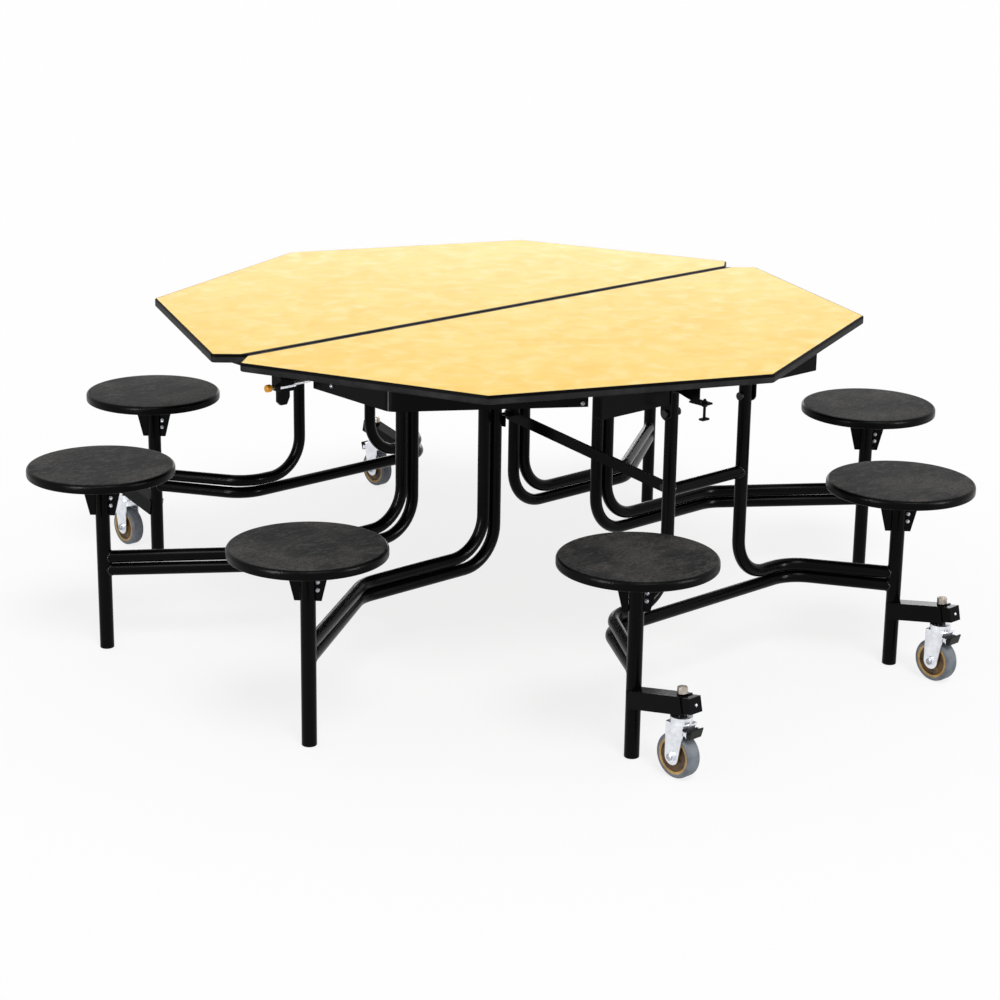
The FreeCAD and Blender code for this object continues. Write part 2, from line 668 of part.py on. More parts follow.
def make_hinge_leaf(name, side, spans):
    """Seam hinge leaf; side is -1 front, 1 back; spans lists its knuckles' starts."""
    sign = "-" if side < 0 else ""
    start = "(seam_hinge_x - 1.5 * knuckle_long)"
    web_y = "-knuckle_dia / 2" if side < 0 else "knuckle_dia / 2 - leaf_thick"
    web_z = "(seam_pin_z + knuckle_dia / 2 + knuckle_clear)"
    pieces = [box(name + "_web", (start, web_y, web_z),
                  ("3 * knuckle_long", "leaf_thick", "%s - %s" % (UNDER, web_z)))]
    flange_y = "-knuckle_dia / 2 - leaf_wide + leaf_thick" if side < 0 else "knuckle_dia / 2 - leaf_thick"
    pieces.append(box(name + "_flange", (start, flange_y, "%s - leaf_thick" % UNDER),
                      ("3 * knuckle_long", "leaf_wide", "leaf_thick")))
    for i in spans:
        low = "%s + %d * knuckle_long + knuckle_clear / 2" % (start, i)
        long = "knuckle_long - knuckle_clear"
        pieces.append(cylinder("%s_knuckle%d" % (name, i), "knuckle_dia", long,
                               (low, "0", "seam_pin_z"), "X"))
        pieces.append(box("%s_root%d" % (name, i), (low, web_y, "seam_pin_z"),
                          (long, "leaf_thick", "%s - seam_pin_z + leaf_thick" % web_z)))
    bore = cylinder(name + "_bore", "hinge_pin_dia + 2 * pin_clear", "4 * knuckle_long",
                    (start + " - knuckle_long / 2", "0", "seam_pin_z"), "X")
    return cut(name, fuse(name + "_solid", pieces), bore)


def make_stop():
    """Fold stop: bracket with a tab, and an adjusting bolt with its foot."""
    outer = "-(leg_x + stop_wide / 2)"
    blade = plate("front_stop_blade", "YZ", outer, "stop_plate",
                  [("-" + STOP_NEAR_Y, UNDER), ("-" + STOP_NEAR_Y, "stop_near_z"),
                   ("-" + STOP_FAR_Y, "stop_tab_z"), ("-" + STOP_FAR_Y, UNDER)])
    flange = box("front_stop_flange", (outer, "-" + STOP_FAR_Y, "%s - flange_thick" % UNDER),
                 ("stop_wide", "stop_far_out - stop_near_out", "flange_thick"))
    tab = box("front_stop_tab", (outer, "-%s - stop_tab_over" % STOP_Y, "stop_tab_z"),
              ("stop_wide", "stop_out + stop_tab_over - stop_far_out + stop_wide", "stop_plate"))
    bolt = ("-leg_x", "-" + STOP_Y)
    hole = cylinder("front_stop_hole", "stop_bolt_dia + 2 * drill_clear", "3 * stop_plate",
                    (*bolt, "stop_tab_z - stop_plate"))
    bracket = cut("front_stop_bracket", fuse("front_stop_solid", [blade, flange, tab]), hole)
    foot = box("front_stop_foot", ("-leg_x - stop_foot_wide / 2",
                                  "-%s - stop_foot_deep / 2" % STOP_Y, STOP_Z),
               ("stop_foot_wide", "stop_foot_deep", "stop_foot_thick"))
    shank = cylinder("front_stop_shank", "stop_bolt_dia",
                     "stop_tab_z + 3 * stop_plate - %s" % STOP_Z, (*bolt, STOP_Z))
    nuts = [hexagon("front_stop_nut%d" % i, "(1.7 * stop_bolt_dia)", "stop_plate", (*bolt, z))
            for i, z in enumerate(("stop_tab_z - stop_plate - weld_gap", "stop_tab_z + stop_plate + weld_gap"))]
    return [bracket, fuse("front_stop_bolt", [foot, shank] + nuts)]


# ---------------------------------------------------------------------- frames

def make_caster_legs():
    corners = [("leg_x", "-leg_y", "leg_pin_z + leg_top_over"), ("leg_x", "-leg_y", UPPER_Z),
               ("leg_bend_x", "-leg_y", UPPER_Z), ("caster_post_x", "-caster_post_y", UPPER_Z)]
    tube = bent_tube("front_leg_tube", corners)
    leg = coped("front_leg", tube, [post_cutter("front_leg_cope", "caster_post_x", "-caster_post_y"),
                                    pin_drill("front_leg_drill", "leg_x", "-leg_y", "leg_pin_z")])
    return both_sides("front_leg", leg)


def make_rungs():
    bend = "(leg_bend_x + bend_stagger)"
    corners = [("-caster_post_x", "-caster_post_y", "lower_run_z"), ("-" + bend, "-leg_y", "lower_run_z"),
               (bend, "-leg_y", "lower_run_z"), ("caster_post_x", "-caster_post_y", "lower_run_z")]
    tube = bent_tube("front_low_tube", corners)
    low = coped("front_low_rung", tube,
                [post_cutter("front_low_cope_l", "-caster_post_x", "-caster_post_y"),
                 post_cutter("front_low_cope_r", "caster_post_x", "-caster_post_y")])
    bar = cylinder("front_rung_bar", "rung_dia", "2 * leg_x", ("-leg_x", "-leg_y", "rung_z"), "X")
    legs = [cylinder("front_rung_cope%d" % i, "tube_dia + 2 * weld_gap", "2 * tube_dia",
                     (x, "-leg_y", "rung_z - tube_dia")) for i, x in enumerate(("-leg_x", "leg_x"))]
    rung = coped("front_rung", bar, legs)
    lug_x = "-(%s - brace_gap)" % BRACE_IN
    radius = "brace_deep / 2"
    lug = plate("front_rung_lug_plate", "YZ", lug_x, "lug_thick",
                [("-" + BRACE_LOW_Y, "brace_low_z - " + radius),
                 ("-" + BRACE_LOW_Y, "brace_low_z + " + radius),
                 ("-leg_y", "brace_low_z + " + radius), ("-leg_y", "brace_low_z - " + radius)],
                holes=[("-" + BRACE_LOW_Y, "brace_low_z", "pin_dia + 2 * drill_clear")],
                arcs={0: (radius + " + 0.001", -1)})
    lug_cope = cylinder("front_rung_lug_cope", "rung_dia + 2 * weld_gap", "2 * leg_x",
                        ("-leg_x", "-leg_y", "rung_z"), "X")
    return [low, rung, cut("front_rung_lug", lug, lug_cope)]


def make_posts(prefix, x, y):
    body = new_body(prefix + "_post")
    sketch = new_sketch(body, "XY")
    circle(sketch, "0", "0", "post_dia")
    shaft = pad(body, sketch, "post_top")
    fillet(body, shaft, "post_dia / 16", lambda edge: edge.BoundBox.ZMax < 1e-6)
    place(body, x, y)
    return both_sides(prefix + "_post", body)


def make_hub(name, x, y):
    """Seat bracket: four tapered wings on the post, a top plate and the swivel spigot."""
    body = new_body(name)
    sketch = new_sketch(body, "XZ", "-hub_wing / 2")
    near = "(post_dia / 2 + weld_gap)"
    outline(sketch, [(near, "hub_low_z"), ("hub_low_r", "hub_low_z"), ("hub_mid_r", "hub_mid_z"),
                     ("hub_top_r", "post_top - hub_plate"), ("hub_top_r", "post_top + hub_plate / 2"),
                     (near, "post_top + hub_plate / 2")])
    wing = pad(body, sketch, "hub_wing")
    doc.recompute()
    pattern = body.newObject("PartDesign::PolarPattern", name + "_wings")
    pattern.Originals = [wing]
    pattern.Axis = ([f for f in body.Origin.OriginFeatures if f.Role == "Z_Axis"][0], [""])
    pattern.Angle = 360
    pattern.Occurrences = 4
    body.Tip = pattern
    disc = new_sketch(body, "XY", "post_top + weld_gap")
    circle(disc, "0", "0", "2 * hub_top_r")
    pad(body, disc, "hub_plate")
    spigot = new_sketch(body, "XY", "post_top + weld_gap")
    circle(spigot, "0", "0", "spigot_dia")
    pad(body, spigot, "hub_plate + spigot_tall")
    place(body, x, y, turn=45)
    return body


def make_hubs(prefix, x, y):
    return [make_hub(prefix + "_hub_r", x, y), make_hub(prefix + "_hub_l", "-" + x, y)]


def along_arm(distance, height):
    """Point in the arm's upright plane: distance out along it and height square to it."""
    return ("-(caster_post_y + (%s) * cos(arm_tilt) - (%s) * sin(arm_tilt))" % (distance, height),
            "arm_mid_z + (%s) * sin(arm_tilt) + (%s) * cos(arm_tilt)" % (distance, height))


def arm_outline(start, end, wide):
    return [along_arm(start, "-" + wide), along_arm(end, "-" + wide),
            along_arm(end, wide), along_arm(start, wide)]


def make_arm(name):
    """Caster arm: square tube rising from the post, end plug and upright stem sleeve."""
    body = new_body(name)
    outer = new_sketch(body, "YZ", "caster_post_x - arm_wide / 2")
    outline(outer, arm_outline("0", "arm_long - plug_long", "arm_wide / 2"))
    pad(body, outer, "arm_wide")
    inner = new_sketch(body, "YZ", "caster_post_x - arm_wide / 2 + arm_wall")
    outline(inner, arm_outline("-arm_wall", "arm_long - plug_long + arm_wall", "(arm_wide / 2 - arm_wall)"))
    pocket(body, inner, "arm_wide - 2 * arm_wall", backwards=True)
    plug = new_sketch(body, "YZ", "caster_post_x - plug_wide / 2")
    outline(plug, arm_outline("arm_long - plug_long - arm_wall", "arm_long", "plug_wide / 2"))
    pad(body, plug, "plug_wide")
    sleeve = new_sketch(body, "XY", "sleeve_low_z")
    circle(sleeve, "caster_post_x", "-" + STEM_Y, "sleeve_dia")
    pad(body, sleeve, "sleeve_top_z - sleeve_low_z")
    drill = cylinder(name + "_stem_hole", "stem_dia + 2 * drill_clear", "sleeve_top_z",
                     ("caster_post_x", "-" + STEM_Y, "sleeve_low_z / 2"))
    cutter = post_cutter(name + "_cope", "caster_post_x", "-caster_post_y")
    return coped(name + "_coped", body, [cutter, drill])


def pivot_pin(name, start, length, y, z):
    """Headed pin along X; start is its inner end and both heads are outside the length."""
    shank = cylinder(name + "_shank", "pin_dia", length, (start, y, z), "X")
    near = cylinder(name + "_head", "head_dia", "head_thick", ("%s - head_thick" % start, y, z), "X")
    far = cylinder(name + "_nut", "head_dia", "head_thick", ("%s + %s" % (start, length), y, z), "X")
    return fuse(name, [shank, near, far])


def make_frame_pins():
    start = "(leg_x - tube_dia / 2 - weld_gap)"
    length = "(tube_dia + 2 * side_clear + ear_thick + weld_gap)"
    pins = both_sides("front_leg_pin", pivot_pin("front_leg_pin", start, length, "-leg_y", "leg_pin_z"))
    brace = pivot_pin("front_brace_pin", "(-%s - brace_gap)" % BRACE_OUT,
                      "(brace_thick + 2 * brace_gap + lug_thick)", "-" + BRACE_LOW_Y, "brace_low_z")
    stem = fuse("front_stem", [
        cylinder("front_stem_shank", "stem_dia",
                 "sleeve_top_z + weld_gap + nut_tall + stem_over - crown_z + crown_thick",
                 ("caster_post_x", "-" + STEM_Y, "crown_z - crown_thick")),
        hexagon("front_stem_nut", "nut_wide", "nut_tall",
                ("caster_post_x", "-" + STEM_Y, "sleeve_top_z + weld_gap"))])
    return pins + [brace] + both_sides("front_stem", stem)


def make_centre_tube(name, leg_x, bend_x, run_z):
    corners = [(leg_x, "-centre_y", "centre_pin_z + centre_top_over"), (leg_x, "-centre_y", run_z),
               (bend_x, "-centre_y", run_z), ("centre_post_x", "-centre_post_y", run_z)]
    tube = bent_tube(name + "_tube", corners)
    return coped(name, tube, [post_cutter(name + "_cope", "centre_post_x", "-centre_post_y"),
                              pin_drill(name + "_drill", leg_x, "-centre_y", "centre_pin_z")])


def make_lower_tubes():
    tube = make_centre_tube("front_low_arm", "inner_leg_x", "(centre_bend_x + bend_stagger)", "lower_run_z")
    bar = cylinder("front_beam_bar", "tube_dia", "2 * inner_leg_x",
                   ("-inner_leg_x", "-centre_y", "beam_z"), "X")
    legs = [cylinder("front_beam_cope%d" % i, "tube_dia + 2 * weld_gap", "2 * tube_dia",
                     (x, "-centre_y", "beam_z - tube_dia"))
            for i, x in enumerate(("-inner_leg_x", "inner_leg_x"))]
    radius = "brace_deep / 2"
    lug = plate("front_stud_lug", "YZ", "-(inner_leg_x - tube_dia / 2 - weld_gap)", "lug_thick",
                [("-" + BRACE_TOP_Y, BRACE_TOP_Z + " - " + radius),
                 ("-" + BRACE_TOP_Y, BRACE_TOP_Z + " + " + radius),
                 ("-centre_y - tube_dia / 2", BRACE_TOP_Z + " + " + radius),
                 ("-centre_y - tube_dia / 2", BRACE_TOP_Z + " - " + radius)],
                arcs={0: (radius + " + 0.001", -1)})
    return both_sides("front_low_arm", tube) + [coped("front_beam", bar, legs), lug]


def make_centre_pins():
    start = "(inner_leg_x - tube_dia / 2 - weld_gap)"
    length = "(outer_leg_x - inner_leg_x + tube_dia + 2 * weld_gap)"
    pins = both_sides("front_twin_pin",
                      pivot_pin("front_twin_pin", start, length, "-centre_y", "centre_pin_z"))
    stud_start = "(-(inner_leg_x - tube_dia / 2 - weld_gap - lug_thick))"
    stud_end = "(-(%s + brace_gap))" % BRACE_OUT
    stud = fuse("front_stud", [
        cylinder("front_stud_body", "stud_dia", "%s - %s" % (stud_end, stud_start),
                 (stud_start, "-" + BRACE_TOP_Y, BRACE_TOP_Z), "X"),
        cylinder("front_stud_pin", "pin_dia", "brace_thick + 2 * brace_gap",
                 (stud_end, "-" + BRACE_TOP_Y, BRACE_TOP_Z), "X"),
        cylinder("front_stud_head", "head_dia", "head_thick",
                 ("%s + brace_thick + 2 * brace_gap" % stud_end, "-" + BRACE_TOP_Y, BRACE_TOP_Z), "X")])
    return pins + [stud]


def make_brace():
    """Flat bar with round ends, parallel to the line through the two pivots of the half."""
    body = new_body("front_brace_bar")
    sketch = new_sketch(body, "YZ", "-" + BRACE_OUT)
    length = "sqrt((leg_y - centre_y) ^ 2 + %s ^ 2)" % BRACE_RISE
    across = "(brace_deep / 2 * %s / %s)" % (BRACE_RISE, length)
    up = "(brace_deep / 2 * (leg_y - centre_y) / %s)" % length
    radius = "brace_deep / 2 + 0.001"
    outline(sketch, [("-%s - %s" % (BRACE_LOW_Y, across), "brace_low_z + " + up),
                     ("-%s + %s" % (BRACE_LOW_Y, across), "brace_low_z - " + up),
                     ("-%s + %s" % (BRACE_TOP_Y, across), "%s - %s" % (BRACE_TOP_Z, up)),
                     ("-%s - %s" % (BRACE_TOP_Y, across), "%s + %s" % (BRACE_TOP_Z, up))],
            {0: (radius, -1), 2: (radius, -1)})
    circle(sketch, "-" + BRACE_LOW_Y, "brace_low_z", "pin_dia + 2 * pin_clear")
    circle(sketch, "-" + BRACE_TOP_Y, BRACE_TOP_Z, "pin_dia + 2 * open_clear")
    pad(body, sketch, "brace_thick")
    return body


# ----------------------------------------------------------------------- seats

def make_seat(name, x, y):
    """Moulded seat shell: raised flat middle, rounded edge, open underside and a bored boss."""
    body = new_body(name)
    sketch = new_sketch(body, "XZ")
    edge = "(seat_dia / 2)"
    shoulder = "(seat_top - seat_crown)"
    bore = "(spigot_dia / 2 + pin_clear)"
    boss_low = "(post_top + weld_gap + hub_plate + swivel_gap)"
    spigot_top = "(post_top + weld_gap + hub_plate + spigot_tall + swivel_gap)"
    ceiling = "(seat_top - seat_crown - seat_wall)"
    outline(sketch, [("0", "seat_top"), ("seat_flat / 2", "seat_top"),
                     (edge + " - seat_round", shoulder), (edge, shoulder + " - seat_round"),
                     (edge, "seat_top - seat_rim + seat_lip"), (edge + " - seat_lip", "seat_top - seat_rim"),
                     (edge + " - seat_wall", "seat_top - seat_rim"),
                     (edge + " - seat_wall", ceiling), ("seat_boss_dia / 2", ceiling),
                     ("seat_boss_dia / 2", boss_low), (bore, boss_low), (bore, spigot_top), ("0", spigot_top)],
            {2: ("seat_round * 1.02", 1), 4: ("seat_lip * 1.02", 1)})
    revolve(body, sketch)
    place(body, x, y)
    return body


# --------------------------------------------------------------------- casters

def make_wheel(name, x, y):
    """Caster wheel turned about its axle, then laid across the fork."""
    body = new_body(name)
    sketch = new_sketch(body, "XZ")
    half = "(wheel_wide / 2)"
    face = "(wheel_wide / 2 - wheel_dish)"
    rim = "(wheel_dia / 2)"
    bore = "(axle_dia / 2 + pin_clear)"
    outline(sketch, [(bore, "-" + half), ("wheel_hub_dia / 2", "-" + half), ("wheel_hub_dia / 2", "-" + face),
                     ("tyre_in_dia / 2", "-" + face), ("tyre_in_dia / 2", "-" + half),
                     (rim + " - wheel_round", "-" + half), (rim, "-%s + wheel_round" % half),
                     (rim, half + " - wheel_round"), (rim + " - wheel_round", half),
                     ("tyre_in_dia / 2", half), ("tyre_in_dia / 2", face), ("wheel_hub_dia / 2", face),
                     ("wheel_hub_dia / 2", half), (bore, half)],
            {5: ("wheel_round * 1.001", -1), 7: ("wheel_round * 1.001", -1)})
    revolve(body, sketch)
    body.Placement = Placement(Vector(0, 0, 0), Rotation(Vector(0, 1, 0), 90))
    for axis, expression in zip("xyz", (x, y, "wheel_dia / 2")):
        bind(body, ".Placement.Base." + axis, expression)
    return body


def make_fork(name, x, y, turn):
    """Fork plates, crown, raceway, axle and pedal pin, built about the stem axis."""
    body = new_body(name)
    axle_y = "trail"
    axle_z = "(wheel_dia / 2)"
    foot = "(fork_foot / 2)"
    top = "(fork_top_wide / 2)"
    corners = [("%s + %s" % (axle_y, foot), axle_z), ("%s - %s" % (axle_y, foot), axle_z),
               ("-" + top, "crown_z - 3 * crown_thick"),
               ("-pedal_y - pedal_barrel / 2", "pedal_z - pedal_barrel / 2"),
               ("-pedal_y - pedal_barrel / 2", "pedal_z + pedal_barrel / 2"),
               ("-pedal_y + pedal_barrel / 2", "pedal_z + pedal_barrel / 2"),
               ("-" + top, "crown_z"), (top, "crown_z")]
    for i, start in enumerate((FORK_IN, "-" + FORK_OUT)):
        sketch = new_sketch(body, "YZ", start)
        outline(sketch, corners, {0: (foot + " + 0.001", 1)})
        if i == 0:
            pad(body, sketch, "fork_thick")
            crown = new_sketch(body, "XY", "crown_z - crown_thick")
            outline(crown, [("-" + FORK_OUT, "-" + top), (FORK_OUT, "-" + top),
                            (FORK_OUT, top), ("-" + FORK_OUT, top)])
            pad(body, crown, "crown_thick")
            race = new_sketch(body, "XY", "crown_z")
            circle(race, "0", "0", "race_dia")
            pad(body, race, "sleeve_low_z - crown_z - swivel_gap")
        else:
            pad(body, sketch, "fork_thick")
    for middle_y, middle_z, dia, reach in ((axle_y, axle_z, "axle_dia", FORK_OUT + " + head_thick"),
                                           ("-pedal_y", "pedal_z", "pedal_pin_dia", FORK_OUT)):
        pin = new_sketch(body, "YZ", "-(%s)" % reach)
        circle(pin, middle_y, middle_z, dia)
        pad(body, pin, "2 * (%s)" % reach)
    for start in (FORK_OUT, "-(%s + head_thick)" % FORK_OUT):
        head = new_sketch(body, "YZ", start)
        circle(head, axle_y, axle_z, "axle_head")
        pad(body, head, "head_thick")
    bore = new_sketch(body, "XY", "crown_z - 2 * crown_thick")
    circle(bore, "0", "0", "stem_dia + 2 * pin_clear")
    pocket(body, bore, "3 * crown_thick + sleeve_low_z - crown_z", backwards=True)
    place(body, x, y, turn=turn)
    return body


def make_pedal(name, x, y, turn):
    """Brake pedal: barrel on its pin and a plate that slopes out and down."""
    body = new_body(name)
    half = "(%s - swivel_gap)" % FORK_IN
    sketch = new_sketch(body, "YZ", "-" + half)
    circle(sketch, "-pedal_y", "pedal_z", "pedal_barrel")
    pad(body, sketch, "2 * " + half)
    blade = new_sketch(body, "YZ", "-" + half)
    outline(blade, [("-pedal_y", "pedal_z + pedal_thick / 2"), ("-pedal_y", "pedal_z - pedal_thick"),
                    ("-pedal_knee_y", "pedal_knee_z"), ("-pedal_tip_y", "pedal_tip_z"),
                    ("-pedal_tip_y + pedal_thick", "pedal_tip_z + pedal_thick / 2"),
                    ("-pedal_knee_y + pedal_thick / 2", "pedal_knee_z + pedal_thick * 1.6")])
    pad(body, blade, "2 * " + half)
    bore = new_sketch(body, "YZ", "-" + half)
    circle(bore, "-pedal_y", "pedal_z", "pedal_pin_dia + 2 * pin_clear")
    pocket(body, bore, "2 * " + half, backwards=True)
    place(body, x, y, turn=turn)
    return body


# ------------------------------------------------------------------- the model

def build_front_half():
    front_top = node("front_top", [make_board()])
    edge, _ = make_edge()
    front_edge = node("front_edge", [edge])
    rails = (both_sides("front_side_rail", make_side_rail())
             + both_sides("front_stub_channel", make_stub_channel())
             + both_sides("front_strap", make_strap()))
    leg_ear = make_ear("front_leg_ear", EAR_IN, "-leg_y", "leg_pin_z", "ear_width",
                       "leg_x - tube_dia / 2", "(%s + ear_thick - leg_x + tube_dia / 2)" % EAR_IN)
    twin_ear = make_ear("front_twin_ear", "%s - ear_thick / 2" % TWIN_MID, "-centre_y", "centre_pin_z",
                        "(tube_dia - 0.6)", "inner_leg_x - tube_dia / 2",
                        "(outer_leg_x - inner_leg_x + tube_dia)")
    ears = both_sides("front_leg_ear", leg_ear) + both_sides("front_twin_ear", twin_ear)
    shared = doc.addObject("Part::Compound", "half_rails")
    shared.Links = rails
    shared_ears = doc.addObject("Part::Compound", "half_ears")
    shared_ears.Links = ears
    hook = box("front_hook", (EAR_IN, "-leg_y + ear_width / 2", "hook_low_z"),
               ("ear_thick", "hook_reach", "hook_tall"))
    stop = make_stop()
    node("front_rails", rails + [make_lock_bracket()])
    node("front_pivot_brackets", ears + [hook])
    leaf = make_hinge_leaf("front_leaf", -1, (0, 2))
    node("front_hinge_leaves", both_sides("front_leaf", leaf))
    pin = cylinder("seam_pin", "hinge_pin_dia", "3 * knuckle_long",
                   ("seam_hinge_x - 1.5 * knuckle_long", "0", "seam_pin_z"), "X")
    node("hinge_pins", both_sides("seam_pin", pin))
    front_stop = node("front_stop", stop)

    node_back("back_top", front_top)
    node_back("back_edge", front_edge)
    node_back("back_rails", shared)
    node_back("back_pivot_brackets", shared_ears)
    back_leaf = make_hinge_leaf("back_leaf", 1, (1,))
    node("back_hinge_leaves", both_sides("back_leaf", back_leaf))
    node_back("back_stop", front_stop)

    rod = cylinder("lock_rod_bar", "lock_rod_dia", "lock_rod_out - lock_rod_in",
                   ("-lock_rod_out", "-lock_y", "lock_z"), "X")
    node("lock_rod", [rod])
    node("lock_knob", [make_knob()])


def make_knob():
    body = new_body("lock_knob_body")
    sketch = new_sketch(body, "XZ")
    grip = "(knob_dia / 2)"
    outline(sketch, [("0", "0"), ("0.7 * " + grip, "0"), (grip, "0.35 * knob_long"), (grip, "0.8 * knob_long"),
                     ("0.8 * " + grip, "knob_long"), ("0", "knob_long")],
            {3: ("0.4 * " + grip, -1)})
    revolve(body, sketch)
    body.Placement = Placement(Vector(0, 0, 0), Rotation(Vector(0, 1, 0), -90))
    for axis, expression in zip("xyz", ("-lock_rod_out", "-lock_y", "lock_z")):
        bind(body, ".Placement.Base." + axis, expression)
    return body


def build_frames():
    legs = node("front_frame_legs", make_caster_legs())
    rungs = make_rungs()
    front_rungs = node("front_frame_rungs", rungs)
    posts = node("front_frame_posts", make_posts("front_frame", "caster_post_x", "-caster_post_y"))
    hubs = node("front_frame_seat_brackets", make_hubs("front_frame", "caster_post_x", "-caster_post_y"))
    arms = node("front_caster_arms", both_sides("front_arm", make_arm("front_arm")))
    pins = node("front_frame_pins", make_frame_pins())
    node_back("back_frame_legs", legs)
    node_back("back_frame_rungs", front_rungs, turned=True)
    node_back("back_frame_posts", posts)
    node_back("back_frame_seat_brackets", hubs)
    node_back("back_caster_arms", arms)
    node_back("back_frame_pins", pins, turned=True)

    upper = make_centre_tube("front_high_arm", "outer_leg_x", "centre_bend_x", UPPER_Z)
    uppers = node("front_center_upper_tubes", both_sides("front_high_arm", upper))
    lowers = node("front_center_lower_tubes", make_lower_tubes())
    centre_posts = node("front_center_posts", make_posts("front_center", "centre_post_x", "-centre_post_y"))
    centre_hubs = node("front_center_seat_brackets",
                       make_hubs("front_center", "centre_post_x", "-centre_post_y"))
    centre_pins = node("front_center_pins", make_centre_pins())
    node_back("back_center_upper_tubes", uppers)
    node_back("back_center_lower_tubes", lowers, turned=True)
    node_back("back_center_posts", centre_posts)
    node_back("back_center_seat_brackets", centre_hubs)
    node_back("back_center_pins", centre_pins, turned=True)

    brace = node("front_brace", [make_brace()])
    node_back("back_brace", brace, turned=True)


def build_seats():
    places = {
        "front_left": ("-caster_post_x", "-caster_post_y"), "front_right": ("caster_post_x", "-caster_post_y"),
        "side_front_left": ("-centre_post_x", "-centre_post_y"),
        "side_front_right": ("centre_post_x", "-centre_post_y"),
        "side_back_left": ("-centre_post_x", "centre_post_y"),
        "side_back_right": ("centre_post_x", "centre_post_y"),
        "back_left": ("-caster_post_x", "caster_post_y"), "back_right": ("caster_post_x", "caster_post_y"),
    }
    for name, (x, y) in places.items():
        node("seat_" + name, [make_seat("seat_shell_" + name, x, y)])


def build_casters():
    for name, x, side in (("front_left", "-caster_post_x", "-"), ("front_right", "caster_post_x", "-"),
                          ("back_left", "-caster_post_x", ""), ("back_right", "caster_post_x", "")):
        turn = 0 if side == "-" else 180
        stem = side + STEM_Y
        node("caster_fork_" + name, [make_fork("fork_" + name, x, stem, turn)])
        node("caster_wheel_" + name, [make_wheel("wheel_" + name, x, "%s(%s - trail)" % (side, STEM_Y))])
        node("caster_pedal_" + name, [make_pedal("pedal_" + name, x, stem, turn)])


def check_and_write():
    doc.recompute()
    failed = [obj.Name for obj in doc.Objects if "Invalid" in obj.State or "Error" in obj.State]
    if failed:
        raise RuntimeError("failed objects: " + ", ".join(failed))
    for obj in NODES:
        if obj.Shape.isNull() or not obj.Shape.isValid() or not obj.Shape.Solids:
            raise RuntimeError("bad shape: " + obj.Label)
    os.makedirs("parts", exist_ok=True)
    for obj in NODES:
        obj.Shape.exportStep("parts/%s.step" % obj.Label)
    print("%d sub-parts written" % len(NODES))


build_front_half()
build_frames()
build_seats()
build_casters()
check_and_write()
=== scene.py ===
import json
import math
import bmesh
import bpy
from mathutils import Matrix, Vector


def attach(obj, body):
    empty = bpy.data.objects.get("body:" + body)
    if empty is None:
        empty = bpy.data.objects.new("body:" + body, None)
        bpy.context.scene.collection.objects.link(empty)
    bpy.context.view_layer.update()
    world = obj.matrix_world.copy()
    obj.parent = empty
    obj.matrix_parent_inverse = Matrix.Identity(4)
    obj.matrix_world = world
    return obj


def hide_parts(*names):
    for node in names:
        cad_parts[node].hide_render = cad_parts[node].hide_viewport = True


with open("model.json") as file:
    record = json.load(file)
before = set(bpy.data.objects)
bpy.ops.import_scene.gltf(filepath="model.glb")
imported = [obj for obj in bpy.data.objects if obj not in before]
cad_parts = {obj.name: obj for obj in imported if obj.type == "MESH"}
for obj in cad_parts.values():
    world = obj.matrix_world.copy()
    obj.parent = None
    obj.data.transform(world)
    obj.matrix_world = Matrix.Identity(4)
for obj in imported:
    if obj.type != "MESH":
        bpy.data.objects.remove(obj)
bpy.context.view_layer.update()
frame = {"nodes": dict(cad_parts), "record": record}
NODES = frame["nodes"]
SIDES = {"front": -1, "back": 1}

# ------------------------------------------------------------ the table's own places, in metres

POST_RADIUS, TUBE_RADIUS, RUNG_RADIUS = 0.0160, 0.0143, 0.0135
FRAME_PLANE, CENTER_PLANE = 0.645, 0.145        # distance from the seam to each pair of uprights
END_SEAT_X, END_SEAT_Y = 0.415, 0.850
SIDE_SEAT_X, SIDE_SEAT_Y = 0.880, 0.375
UPPER_ARM, LOWER_ARM = 0.217, 0.187             # heights of the two arms that meet a seat post
CASTER_Y, AXLE_HEIGHT = 0.980, 0.048
PEDAL_BARREL_END, PEDAL_HINGE_HEIGHT = 1.018, 0.104
ROD_Y, ROD_HEIGHT = -0.014, 0.658               # the lock's pull rod, which lies along the seam

# heights where a finish, or a painted sheen or shade on it, gives way to the next, each as the two
# ends of a short step
LAMINATE_FACE = (0.7351, 0.7355)
# below MOULDING_SHOULDER the moulding's upright face carries a painted sheen
MOULDING_SHOULDER = (0.7295, 0.7315)
# below SEAT_SHOULDER the seat's rim is painted dark as shade
SEAT_SHOULDER = (0.4328, 0.4335)
PINS_ABOVE_STEMS = (0.29, 0.31)

SHARP_EDGE = math.radians(35)

# -------------------------------------------------------------- node trees in maker's words


def srgb(red, green, blue):
    """A colour as a paint chart gives it, 0 to 255, in linear light."""
    def channel(v):
        v /= 255
        return v / 12.92 if v <= 0.04045 else ((v + 0.055) / 1.055) ** 2.4
    return (channel(red), channel(green), channel(blue), 1.0)


class Signal:
    """A value that travels through a node tree; arithmetic on it adds Math nodes."""

    def __init__(self, graph, socket):
        self.graph, self.socket = graph, socket

    def maths(self, operation, *values):
        return self.graph.node("ShaderNodeMath", {"operation": operation},
                               dict(enumerate(values)))[0]

    def __add__(self, other):
        return self.maths("ADD", self, other)

    def __sub__(self, other):
        return self.maths("SUBTRACT", self, other)

    def __rsub__(self, other):
        return self.maths("SUBTRACT", other, self)

    def __mul__(self, other):
        return self.maths("MULTIPLY", self, other)

    __radd__, __rmul__ = __add__, __mul__

    def between(self, low, high):
        """0 below low, 1 above high and a smooth step between."""
        return self.graph.node("ShaderNodeMapRange", {"interpolation_type": "SMOOTHSTEP"},
                               {"Value": self, "From Min": low, "From Max": high})[0]


